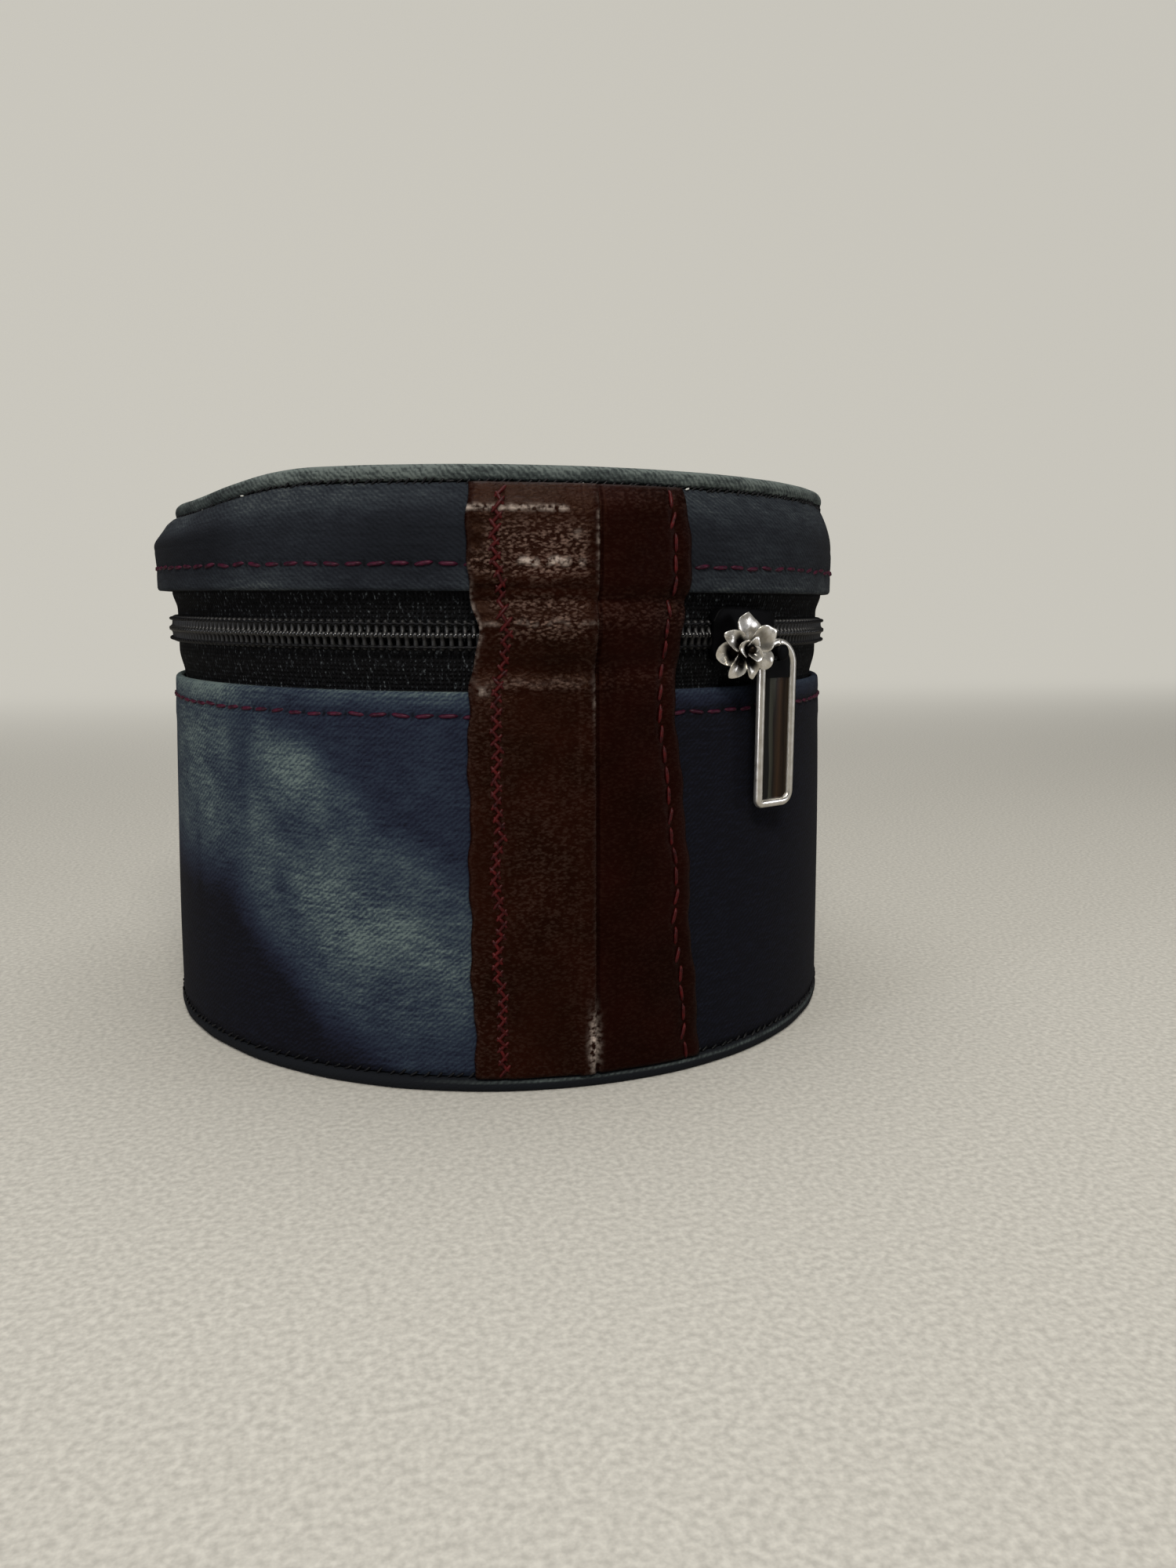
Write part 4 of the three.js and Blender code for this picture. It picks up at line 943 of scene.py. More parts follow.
def strap_edge(z, side):
    """Distance of the strap's edge from its middle: eased between its stations, with a
    hand-cut waver of a few tenths of a mm."""
    z = np.asarray(z, float)
    k = np.clip(np.searchsorted(STRAP_STATIONS[:, 0], z, side="right") - 1, 0, 4)
    low, high = STRAP_STATIONS[k], STRAP_STATIONS[k + 1]
    share = smooth((z - low[..., 0]) / (high[..., 0] - low[..., 0]))
    waver = 0.25 * np.sin(z * 0.31 + side) + 0.15 * np.sin(z * 0.83 + 2 * side)
    return STRAP_HALF * (low[..., side] + (high[..., side] - low[..., side]) * share) + waver


def strap_seat(z, s):
    """What the leather lies on: the body's wall, then the zip gap with a valley under the lid's
    hem, a ridge over the chain and a valley over the body's hem, and then the lid's wall, with
    a full roll where the leather turns in under the top seam."""
    on_body = body_radius(np.minimum(z, HEM_TOP))
    on_lid = lid_radius(z)
    across = on_body + (on_lid - on_body) * np.clip((z - HEM_TOP) / (LID_EDGE - HEM_TOP), 0, 1)
    valleys = 1.1 * bell(z, 91.4, 1.5) + 0.95 * bell(z, 79.2, 2.5)
    ridge = 0.4 * bell(z, 86.2, 2.2)
    roll = 0.7 * smooth((z - 104.0) / 5.0) * smooth((112.9 - z) / 1.5)
    return across + LAYER_GAP - valleys + ridge + roll + 0 * s


def creased(z, s, lap_side):
    """Folds in the leather's face in mm: sharp level ones near the top, at the lid's hem and
    over the chain, where the left piece has the deeper ones, and a fine crumple."""
    waver = 0.3 * np.sin(s * 0.55 + 0.6) + 0.16 * np.sin(s * 1.3)
    broken = 0.7 + 0.3 * np.sin(s * 1.7 + 1.0)
    upper = 0.3 * bell(z + 0.1 * waver, 107.9, 0.7) * smooth((-3 - s) / 4)
    middle = 0.5 * bell(z + waver, 98.3, 0.7) * smooth((s + 15) / 4) * broken
    second = 0.3 * bell(z - waver, 95.7, 0.7) * smooth((s + 14) / 6)
    edge = -0.6 * bell(z, 93.3, 0.8)
    third = 0.2 * bell(z + 0.7 * waver, 87.4, 0.7) * broken + 0.12 * bell(z - waver, 90.2, 0.7)
    crest = 0.2 * bell(z + 0.6 * waver, 76.0, 0.9) * broken
    flexed = bell(z, 88.0, 8.0) + bell(z, 101.0, 6.0)
    crumple = 0.08 * np.sin(1.9 * z + 0.8 * s) * np.sin(0.9 * s - 0.4 * z) * (0.2 + flexed)
    soft = 0.1 * np.sin(0.19 * z + 0.35 * s) + 0.06 * np.sin(0.43 * z - 0.5 * s + 1.0)
    if lap_side:
        return upper + middle + second + edge + third + crest + crumple + soft
    return 0.5 * (edge + third) + 0.6 * crest + 0.5 * crumple + soft


def rubbed_and_glinting_grain(z, s, edge, lap_side):
    """Share of the raised grain that is drawn pale, as rubbed grain and painted glints on it:
    a sum of level bells, most on the folds at the lid's hem, over the chain and over the
    body's hem, and little elsewhere."""
    waver = 0.35 * np.sin(0.7 * s + 0.4) + 0.2 * np.sin(1.9 * s)
    if not lap_side:
        low = 0.22 * bell(z, 89.0, 3.0) + 0.1 * bell(z, 77.5, 2.6) + 0.14 * bell(z, 109.7, 1.6)
        return 0.05 + low + 0 * s
    inner = smooth((s + edge - 2.0) / 3.0) * smooth((STRAP_SEAM - 1.6 - s) / 1.6)
    outer_spot = 0.7 * bell(z, 98.0, 1.6) * bell(s, -edge + 2.2, 1.8)
    bulge = 0.55 * bell(z, 101.8, 2.9) + 0.55 * bell(z + waver, 97.2, 1.6)
    chain = 0.4 * bell(z, 90.6, 1.3) + 0.6 * bell(z + waver, 87.7, 0.9) + 0.3 * bell(z, 85.8, 1.4)
    hem = 0.3 * bell(z + 0.6 * waver, 76.6, 1.0)
    low = 0.05 + 0.03 * np.sin(0.11 * z) * np.sin(0.21 * s)
    return np.clip((bulge + chain + hem) * inner + outer_spot + low, 0, 1)


def strap_piece(name, lap_side, material, nodes):
    """One leather piece: a flat section with round edges carried up the wall. The left piece's
    lip rides over the right piece's thinned edge. Rows of stitches draw the face in."""
    z = np.concatenate([np.linspace(WALL_FOOT, 66, 90), np.linspace(66, 111.9, 130)[1:]])[:, None]
    t = np.linspace(0, 1, 76)[None]
    edge = strap_edge(z, 1 if lap_side else 2)
    if lap_side:
        s = -edge + (edge + STRAP_SEAM) * t
        ramp = smooth((s - (STRAP_SEAM - LAP - 1.0)) / 0.9)
        lift, thick = 0.85 * ramp, LEATHER - 0.4 * ramp
        row = -edge + LEFT_ROW + 0.35 * np.sin(0.42 * z)
    else:
        start = STRAP_SEAM - LAP
        s = start + (edge - start) * t
        ramp = smooth((s - STRAP_SEAM - 0.3) / 0.7)
        lift, thick = 0 * s, 0.55 + (LEATHER - 0.55) * ramp
        row = edge - RIGHT_ROW
    seat = strap_seat(z, s)
    rounding = 1 - (1 - np.clip(np.minimum(t, 1 - t) * 76 / 5, 0, 1)) ** 2
    face = creased(z, s, lap_side) * rounding
    groove = 0.28 * bell(s, row, 0.8)
    outer = seat + lift + thick * (0.45 + 0.55 * np.sqrt(rounding)) + face - groove * rounding
    inner = seat + lift + 0 * s
    inner = np.minimum(inner, outer - 0.35)
    angle = s / STRAP_RADIUS
    grid = np.concatenate([drum(angle, outer, z), drum(angle[:, ::-1], inner[:, ::-1], z)], 1)
    across = np.concatenate([s, s[:, ::-1] + 60, s[:, :1] + 120], 1)
    uv = np.stack([across, z + 0 * across], -1)
    at_seam = bell(s, STRAP_SEAM - 0.3, 0.35) if lap_side else 0 * s
    dotted = smooth((np.sin(2.6 * z + np.sin(0.9 * z)) + 0.9) / 0.8)
    glue = bell(z, 9.0, 4.5) * bell(s, STRAP_SEAM - 0.4, 0.9) * 1.6
    pucker = 0.6 * bell(z, 75.2, 0.7) * bell(s, -edge + 2.6, 1.1) if lap_side else 0 * s
    rim = 0.5 * bell(s, -edge + 0.2 if lap_side else edge, 0.45) * bell(z, 87, 7.0) * lap_side
    rubbed_seam = 1.3 * bell(z, 102.5, 6) + 0.8 * bell(z, 74, 4) + 0.08
    # gleam: painted highlight lines along the folds and one spot, carried by the scuff mark
    gleam = 0.0 * s
    if lap_side:
        waver = 0.25 * np.sin(0.9 * s) + 0.15 * np.sin(2.3 * s + 1)
        dashed = smooth((np.sin(1.15 * s + 0.9) + 0.85) / 0.5)
        gleam = 1.1 * bell(z, 107.4 + 0.1 * waver, 0.45) * smooth((-2.5 - s) / 2)
        fold = bell(z, 98.2 + 0.6 * waver, 0.5) * smooth((s + 12.5) / 2) * smooth((0 - s) / 2)
        gleam = gleam + 2.4 * fold * dashed
        gleam = gleam + 0.28 * bell(z, 87.4 + waver, 0.4) * dashed
        gleam = gleam + 0.06 * bell(z, 76.6 + waver, 0.5)
        gleam = gleam + 0.5 * bell(z, 103.0, 0.6) * bell(s, -1.6, 0.8)
    scuff_and_highlight = np.clip(0.35 * at_seam * dotted * rubbed_seam + glue + pucker + rim + gleam, 0, 1.7)
    flex = rubbed_and_glinting_grain(z, s, edge, lap_side)
    marks = {
        "scuff_and_highlight": np.concatenate([scuff_and_highlight, 0 * scuff_and_highlight], 1),
        "flex": np.concatenate([flex, flex], 1),
    }
    mesh = grid_mesh(name, grid, uv, False, True, marks)
    show(mesh, material, None, nodes, LEATHER_BEND)
    return row


LEFT_NODES = ["leather_left_base", "leather_left_hinge", "leather_left_lid"]
RIGHT_NODES = ["leather_right_base", "leather_right_hinge", "leather_right_lid"]
strap_piece("leather_left_piece", True, left_hide, LEFT_NODES)
strap_piece("leather_right_piece", False, right_hide, RIGHT_NODES)


def strap_row(name, left, first, pitch, long, width, lean, seed):
    """A row of stitches up the strap from a first height, following its edge: each lies on the
    leather's face and leans by its slope."""
    draw = np.random.default_rng(seed)
    z = np.arange(first, 111.0, pitch)
    count = len(z)
    if left:
        s = -strap_edge(z, 1) + LEFT_ROW + 0.35 * np.sin(0.42 * z) + draw.normal(0, 0.12, count)
    else:
        s = strap_edge(z, 2) - RIGHT_ROW + draw.normal(0, 0.08, count)
    angle = s / STRAP_RADIUS
    radius = strap_seat(z, s) + LEATHER + creased(z, s, left) - 0.1
    middle = drum(angle, radius, z)
    ahead = drum(angle, strap_seat(z + 1, s) - strap_seat(z - 1, s), 2 + 0 * z)
    out = drum(angle, 1.0, 0.0)
    side = np.cross([0, 0, 1], out)
    along = ahead + side * draw.normal(lean, 0.12, count)[:, None] * 2
    mesh = stitches(name, middle, along, out, long, width, 0.3)
    return show(mesh, red_thread, None, (), LEATHER_BEND)


strap_row("strap_stitches_left", True, 4.4, 2.3, 3.7, 0.7, 0.85, 7)
strap_row("strap_stitches_crossing", True, 5.4, 2.3, 3.5, 0.7, -0.75, 9)
strap_row("strap_stitches_right", False, 4.4, 3.9, 3.7, 0.7, 0.1, 8)


# ---------------------------------------------------------------- zip


def tape_sheet(name, lower, start, end, body, nodes, bend=None):
    """A zip tape: a thin sheet round the drum from its hem to the middle of the chain, its
    long edges rounded and its face slightly waved between hem and chain."""
    if lower:
        top = CHAIN - TAPE_MEET / 2
        z = np.concatenate([[top - TAPE_WIDTH], np.linspace(HEM_TOP - 2, top, 16)])
    else:
        foot = CHAIN + TAPE_MEET / 2
        z = np.concatenate([np.linspace(foot, LID_EDGE + 2, 16), [foot + TAPE_WIDTH]])
    angle = np.linspace(start, end, max(8, int(np.degrees(end - start) * 1.2)))[:, None]
    z = z[None]
    free = bell(z, 78.0 if lower else 90.5, 2.2)
    outer = tape_radius(z, lower) + 0.12 * free * ripple(angle, z, 51, (30, 60), 20.0)
    inner = outer - TAPE
    grid = np.concatenate([drum(angle, outer, z), drum(angle, inner[:, ::-1], z[:, ::-1])], 1)
    run = np.concatenate([z[0], z[0, ::-1] + 40, z[0, :1] + 80])
    uv = np.stack(np.meshgrid(run, angle[:, 0] * CHAIN_TAPE_RADIUS), -1)
    mesh = grid_mesh(name, grid, uv, False, True, None, 50)
    return show(mesh, tape_cloth, body, nodes, bend)


tape_sheet("lower_tape", True, ZIP_END, AROUND - ZIP_END, "base", ["zip_tape_lower"])
tape_sheet("upper_tape", False, FREE_RIGHT, AROUND - FREE_LEFT, "lid", ["zip_tape_upper"])
tape_sheet("upper_tape_right_end", False, ZIP_END, FREE_RIGHT, None, ["zip_tape_right_end"],
           ZIP_BEND)
tape_sheet("upper_tape_left_end", False, AROUND - FREE_LEFT, AROUND - ZIP_END, None,
           ["zip_tape_left_end"], ZIP_BEND)


def coil_teeth(name, upper, start, end, body, nodes, bend=None):
    """The loops of one coil: each an upright rounded bar from the row's back to its head, which
    swells and reaches past the chain's middle between two heads of the other row."""
    pitch = TOOTH_PITCH / COIL_OUTER
    first = np.ceil(start / pitch - (0.5 if upper else 0.0))
    angle = (np.arange(first, end / pitch - 0.5) + (0.5 if upper else 0.0)) * pitch
    side = 1 if upper else -1
    t = np.array([0, 0.08, 0.18, 0.28, 0.38, 0.5, 0.75, 0.93, 1.0])[:, None]
    a = np.linspace(0, AROUND, 8, endpoint=False)[None]
    height = CHAIN + side * (-0.62 + (COIL_HALF + 0.62) * t)
    ends = np.sqrt(np.clip(1 - (2 * t - 1) ** 8, 0.02, 1))
    half_wide = (0.46 + 0.22 * bell(t, 0.1, 0.14)) * ends
    deep = (COIL_OUTER - COIL_INNER) / 2
    half_deep = deep * ends * (0.86 + 0.14 * bell(t, 0.12, 0.2))
    middle = COIL_INNER + deep - 0.5 * smooth((t - 0.24) / 0.2) + 0.12 * bell(t, 0.1, 0.15)
    square = 0.75
    across = half_wide * np.sign(np.cos(a)) * np.abs(np.cos(a)) ** square
    out = middle + half_deep * np.sign(np.sin(a)) * np.abs(np.sin(a)) ** square
    turn = angle[:, None, None] + across[None] / COIL_OUTER
    points, faces = joined(drum(turn, out[None], height[None]))
    polish = (1.0 if upper else 0.45) * bell(t, 0.12, 0.2) + 0 * turn
    marks = {"polish": polish}
    return show(make_mesh(name, points, faces, None, marks), nylon, body, nodes, bend)


coil_teeth("lower_coil", False, ZIP_END, AROUND - ZIP_END, "base", ["zip_coil_lower"])
coil_teeth("upper_coil", True, FREE_RIGHT, AROUND - FREE_LEFT, "lid", ["zip_coil_upper"])
coil_teeth("upper_coil_right_end", True, ZIP_END, FREE_RIGHT, None, ["zip_coil_right_end"],
           ZIP_BEND)
coil_teeth("upper_coil_left_end", True, AROUND - FREE_LEFT, AROUND - ZIP_END, None,
           ["zip_coil_left_end"], ZIP_BEND)


def coil_sewing(name, upper, start, end, body, bend=None):
    """The double chain stitch that holds a coil to its tape: a thread along the row that rises
    over each loop and dips between two."""
    count = int((end - start) * COIL_OUTER / TOOTH_PITCH * 6)
    angle = np.linspace(start, end, count)[:, None]
    a = np.linspace(0, AROUND, 6, endpoint=False)[None]
    side = 1 if upper else -1
    phase = angle * COIL_OUTER / TOOTH_PITCH * AROUND + (np.pi if upper else 0.0)
    radius = COIL_OUTER - 0.3 + 0.1 * np.cos(phase) + 0.2 * np.sin(a)
    z = CHAIN + side * (2.1 + 0.08 * np.sin(phase)) + 0.26 * np.cos(a)
    grid = drum(angle + 0 * a, radius, z)
    return show(grid_mesh(name, grid, None, False, True), black_thread, body, (), bend)


coil_sewing("lower_coil_sewing", False, ZIP_END, AROUND - ZIP_END, "base")
coil_sewing("upper_coil_sewing", True, FREE_RIGHT, AROUND - FREE_LEFT, "lid")
coil_sewing("upper_sewing_right_end", True, ZIP_END, FREE_RIGHT, None, ZIP_BEND)
coil_sewing("upper_sewing_left_end", True, AROUND - FREE_LEFT, AROUND - ZIP_END, None, ZIP_BEND)


# ---------------------------------------------------------------- slider, flower and pull


SLIDER_NOSE, SLIDER_SHOULDER, SLIDER_TAIL = -5.0, -2.0, 12.6


def slider_half(x):
    """Half the plate's height along the zip: a narrow nose, shoulders and a slimmer tail."""
    nose_share = np.clip((x - SLIDER_NOSE) / (SLIDER_SHOULDER - SLIDER_NOSE), 0, 1)
    tail_share = (x - SLIDER_SHOULDER) / (SLIDER_TAIL - SLIDER_SHOULDER)
    nose = 3.9 + 1.3 * np.sin(nose_share * np.pi / 2)
    return np.where(x < SLIDER_SHOULDER, nose, 5.2 - 0.6 * smooth(tail_share))


def slider_plate(name, inner, outer, narrow, flange):
    """A slider's plate: a rounded flat section carried along the zip, its height following
    the slider's outline. flange is how far its long edges reach in towards the tape."""
    x = np.linspace(SLIDER_NOSE, SLIDER_TAIL, 34)
    ends = 1 - (1 - np.clip(np.minimum(x - SLIDER_NOSE, SLIDER_TAIL - x) / 1.5, 0, 1)) ** 2
    half = (slider_half(x) - narrow) * (0.72 + 0.28 * ends)
    thick = (outer - inner) * (0.7 + 0.3 * ends)
    a = np.linspace(0, AROUND, 40, endpoint=False)
    across = np.sign(np.cos(a)) * np.abs(np.cos(a)) ** 0.35
    depth = np.sign(np.sin(a)) * np.abs(np.sin(a)) ** 0.5
    z = CHAIN + half[:, None] * across[None]
    hooked = flange * smooth((np.abs(z - CHAIN) - 3.1) / 0.25) * (depth[None] < 0)
    radius = (inner + outer) / 2 + depth[None] * thick[:, None] / 2 - hooked
    angle = SLIDER_ANGLE + x[:, None] / PLATE_OUTER + 0 * z
    return grid_mesh(name, drum(angle, radius, z), None, False, True, None, 50)


def turned(profile, centre, axis, sides=32):
    """A profile of [radius, distance] turned round an axis that starts at a centre."""
    axis = axis / np.linalg.norm(axis)
    one = np.cross(axis, [0, 0, 1.0])
    one = one / np.linalg.norm(one)
    two = np.cross(axis, one)
    a = np.linspace(0, AROUND, sides, endpoint=False)
    ring = np.cos(a)[:, None] * one + np.sin(a)[:, None] * two
    radius, run = np.asarray(profile, float).T
    return centre + radius[:, None, None] * ring[None] + run[:, None, None] * axis


def two_in_one(name, first, second):
    """Two closed meshes as one."""
    made = bpy.data.meshes.new(name)
    corners = []
    points = []
    shift = 0
    for mesh in (first, second):
        co = np.empty(len(mesh.vertices) * 3)
        mesh.vertices.foreach_get("co", co)
        points.append(co.reshape(-1, 3))
        corners += [[v + shift for v in face.vertices] for face in mesh.polygons]
        shift += len(mesh.vertices)
    made.from_pydata(np.concatenate(points).tolist(), [], corners)
    made.shade_smooth()
    made.set_sharp_from_angle(angle=np.radians(40))
    for mesh in (first, second):
        bpy.data.meshes.remove(mesh)
    return made


OUTWARD = drum(SLIDER_ANGLE, 1.0, 0.0)
ALONG = np.cross([0, 0, 1.0], OUTWARD)
PEG_PROFILE = [
    (0.02, -0.6), (0.84, -0.6), (0.85, 0.2), (0.85, 3.3), (1.4, 3.3), (1.6, 3.45), (1.6, 3.7),
    (1.4, 3.9), (0.9, 4.0), (0.02, 4.02),
]
peg_seat = PEG_ASIDE * ALONG + PEG_DEPTH * OUTWARD + [0, 0, PEG_Z]
peg = grid_mesh("peg", turned(PEG_PROFILE, peg_seat, OUTWARD), None, False, True, None, 40)
front_plate = slider_plate("front_plate", PLATE_INNER, PLATE_OUTER, 0.0, 1.75)
show(two_in_one("slider_front_plate", front_plate, peg), enamel, "slider",
     ["slider_front"])
show(slider_plate("slider_back_plate", 72.1, 73.1, 0.4, 0.0), enamel, "slider",
     ["slider_back"])


def petal(wide, tall, cup, curl, notch, thick=0.75):
    """A petal as a flattened ball: its outline is broad at the lip with a notch, its middle is
    cupped by the square of the distance across, and its lip curls back by the cube of the
    distance up. x is across, y up the petal from its root, z towards the flower's middle. The
    fourth number is the share of darkening, by blackening and painted shade, full at the root
    and none at the lip and sides."""
    lat = np.linspace(-np.pi / 2 + 0.04, np.pi / 2 - 0.04, 13)[:, None]
    lon = np.linspace(0, AROUND, 28, endpoint=False)[None]
    reach = np.cos(lat) ** 0.7
    x = reach * np.cos(lon)
    y = reach * np.sin(lon)
    up = (y + 1) / 2
    broad = 0.62 + 0.38 * np.sin(up * np.pi * 0.62)
    dip = notch * bell(x, 0.0, 0.28) * smooth((y - 0.2) / 0.8)
    px = wide * x * broad
    py = tall * (up - dip)
    pz = thick / 2 * np.sin(lat) + cup * x**2 - curl * up**3 + 0.05 * np.sin(5 * x + 3 * y)
    hollow = smooth((0.88 - up) / 0.4) * smooth((0.95 - np.abs(x)) / 0.35)
    return np.stack([px + 0 * pz, py + 0 * pz, pz, hollow + 0 * pz], -1)


# The flower's petals: turn in degrees from the pull's side upwards, root radius and lift, tilt
# back from the flower's axis in degrees, half width, height, cup, curl of the lip, its notch
# or peak, and how dark its hollow is drawn, by blackening and painted shade
PETALS = [
    (80, 1.5, 2.8, 92, 3.5, 5.0, 0.6, 0.4, -0.14, 0.5),
    (30, 1.5, 2.7, 64, 2.8, 5.6, 0.7, 0.5, -0.12, 0.6),
    (-24, 1.9, 2.9, 54, 2.3, 4.6, -0.9, 0.6, 0.03, 0.2),
    (-72, 1.5, 2.2, 64, 1.9, 4.2, 1.2, 1.1, -0.06, 1.0),
    (-130, 1.5, 2.0, 68, 2.0, 5.0, 1.3, 1.2, -0.04, 1.0),
    (-170, 1.5, 0.9, 80, 2.5, 4.3, 1.1, 0.9, 0.0, 1.0),
    (151, 1.5, 2.2, 66, 2.1, 4.4, 1.3, 1.5, -0.1, 1.0),
    (56, 0.6, 3.0, 34, 1.4, 2.6, 1.2, 0.9, -0.06, 0.9),
    (-42, 0.7, 3.0, 30, 1.5, 3.0, 1.2, 1.1, 0.0, 0.9),
    (165, 0.6, 2.4, 34, 1.8, 2.6, 1.2, 1.0, 0.0, 1.0),
]


def flower_petals():
    """The petals in their places round the flower's axis, with their share of darkening by
    blackening and painted shade. From its root a petal runs outwards by the sine of its tilt
    and forwards by the cosine."""
    made = []
    # black: how dark a petal's hollow is drawn, blackening and painted shade, set low on the petals
    # that face the light
    for turn, root, lift, tilt, wide, tall, cup, curl, notch, black in PETALS:
        x, y, z, hollow = np.moveaxis(petal(wide, tall, cup, curl, notch), -1, 0)
        lean, turn = np.radians(tilt), np.radians(turn)
        outward = root + y * np.sin(lean) - z * np.cos(lean)
        forward = lift + y * np.cos(lean) + z * np.sin(lean)
        made.append(np.stack([
            outward * np.cos(turn) - x * np.sin(turn),
            outward * np.sin(turn) + x * np.cos(turn),
            np.minimum(forward, 6.6),
            black * hollow,
        ], -1))
    return np.stack(made)


FLOWER_SEAT = drum(SLIDER_ANGLE, PLATE_OUTER + LAYER_GAP, FLOWER_Z)


def flower_mesh():
    """The petals, set on the slider's plate with the axis outwards."""
    petals = flower_petals()
    points, faces = joined(petals[..., :3])
    placed = FLOWER_SEAT + points @ np.stack([ALONG, [0, 0, 1.0], OUTWARD])
    return make_mesh("flower_petals", placed, faces, None, {"hollow": petals[..., 3]}, 40)


def flower_bud():
    """The foot that fills the flower from behind and the bud in its middle, turned. Its dark
    nickel is a painted shade in the flower's middle, with a brown painted reflection.
    """
    profile = [(0.02, 0), (3.3, 0), (3.4, 0.2), (2.9, 1.4), (2.2, 2.0), (1.3, 2.5), (0.9, 3.4),
               (0.85, 4.2), (0.5, 4.6), (0.02, 4.7)]
    aside = 0.9 * smooth(np.arange(10) / 9)[:, None, None] * ALONG
    return grid_mesh("flower_bud", turned(profile, FLOWER_SEAT, OUTWARD) + aside, None, False, True)


show(flower_bud(), painted_shade_bud, "slider")
show(flower_mesh(), cast_nickel, "slider", ["flower_ornament"])


def long_outline(half, top, foot, radii, count=24):
    """An upright outline, anticlockwise from the top right: round corners of the given radii,
    in the order top right, top left, bottom left, bottom right."""
    centres = [(half, top, -1, -1), (-half, top, 1, -1), (-half, foot, 1, 1), (half, foot, -1, 1)]
    made = []
    for k, ((x, y, sx, sy), r) in enumerate(zip(centres, radii)):
        a = np.linspace(k * np.pi / 2, (k + 1) * np.pi / 2, count)
        made.append(np.stack([x + sx * r + r * np.cos(a), y + sy * r + r * np.sin(a)], -1))
    return np.concatenate(made)


def inset(outline, by):
    """An outline moved inwards along its own normals."""
    step = np.roll(outline, -1, 0) - np.roll(outline, 1, 0)
    step = step / np.maximum(np.linalg.norm(step, axis=-1, keepdims=True), 1e-9)
    return outline + by * np.stack([-step[:, 1], step[:, 0]], -1)


def pull_place(flat):
    """Points given as across, up and outwards from the peg, put where the pull hangs."""
    seat = PEG_ASIDE * ALONG + (PEG_DEPTH + 1.3) * OUTWARD + [0, 0, PEG_Z]
    return seat + flat[..., :1] * ALONG + flat[..., 1:2] * [0, 0, 1] + flat[..., 2:] * OUTWARD


PULL_HALF, PULL_TOP, PULL_FOOT = 5.2, 2.7, -30.7
PULL_RADII = (5.19, 5.19, 1.7, 3.0)
RIM_HALF, PULL_HALF_THICK = 0.8, 0.8
PANEL_TOP = -5.0


def pull_rim():
    """The raised rim: a round section carried along the pull's outline."""
    outline = long_outline(PULL_HALF, PULL_TOP, PULL_FOOT, PULL_RADII)
    rings = []
    for angle in np.linspace(0, AROUND, 16, endpoint=False):
        depth = RIM_HALF - RIM_HALF * np.sign(np.cos(angle)) * np.abs(np.cos(angle)) ** 0.8
        rise = np.sign(np.sin(angle)) * np.abs(np.sin(angle)) ** 0.8
        ring = inset(outline, depth)
        height = np.full((len(ring), 1), PULL_HALF_THICK * (1 + rise))
        rings.append(np.concatenate([ring, height], 1))
    return grid_mesh("pull_rim_metal", pull_place(np.stack(rings)), None, True, True)


def pull_eye():
    """The plate round the peg, between the eye and the middle of the rim's arch."""
    half = PULL_HALF - RIM_HALF
    outer = long_outline(half, PULL_TOP - RIM_HALF, PANEL_TOP, (half - 0.01, half - 0.01, 0.2, 0.2))
    a = np.linspace(0, AROUND, len(outer), endpoint=False)
    eye = np.stack([1.1 * np.cos(a), 1.1 * np.sin(a) - 0.65 * (np.sin(a) < 0)], -1)
    share = np.array([0, 0.5, 1, 1, 0.5, 0])[:, None, None]
    height = np.array([1.05, 1.05, 1.05, 0.25, 0.25, 0.25])[:, None, None]
    flat = eye[None] + (outer - eye)[None] * share
    points = pull_place(np.concatenate([flat, height + 0 * flat[..., :1]], -1))
    return grid_mesh("pull_eye", points, None, True, True, None, 30)


def pull_panel():
    """The sunk panel under the eye: a thin plate, hollow across by the square of the distance,
    whose sides follow the middle of the rim. The mark across runs from 0 at the left to 1 and
    places the painted reflection across the panel."""
    share = np.linspace(0, 1, 17)[None]
    foot, half = PULL_FOOT + RIM_HALF, PULL_HALF - RIM_HALF
    y = np.concatenate([
        np.linspace(PANEL_TOP, foot + 2.5, 8), np.linspace(foot + 2.2, foot, 8),
    ])[:, None]

    def reach(radius):
        drop = np.clip(radius - (y - foot), 0, radius)
        return half - radius + np.sqrt(radius**2 - drop**2)

    left, right = -reach(PULL_RADII[2] - RIM_HALF), reach(PULL_RADII[3] - RIM_HALF)
    x = left + (right - left) * share
    front = 1.0 - 0.5 * (1 - (x / half) ** 2)
    back = np.full_like(front, 0.2)
    x, height = np.concatenate([x, x[:, ::-1]], 1), np.concatenate([front, back], 1)
    points = pull_place(np.stack([x, y + 0 * x, height], -1))
    marks = {"across": (x + half) / (2 * half)}
    return grid_mesh("pull_panel_metal", points, None, False, True, marks, 40)


show(pull_rim(), smooth_nickel, "pull", ["pull_tab"])
show(pull_panel(), panel_nickel_painted_reflection, "pull")
show(pull_eye(), enamel, "pull")


# ---------------------------------------------------------------- inside


def turned_layer(name, profile, wave, material, body, nodes):
    """A layer of a wall: a closed profile turned round the drum, its face waved by up to wave
    mm where it is glued less tightly."""
    angle = np.linspace(0, AROUND, 240, endpoint=False)[None]
    profile = np.asarray(profile, float)
    radius, z = profile[:, :1], profile[:, 1:]
    grid = drum(angle, radius + wave * ripple(angle, z, 61, (4, 20), 30.0), z + 0 * angle)
    grid = slumped(grid) if body == "lid" else grid
    return show(grid_mesh(name, grid, None, True, True, None, 50), material, body, nodes)


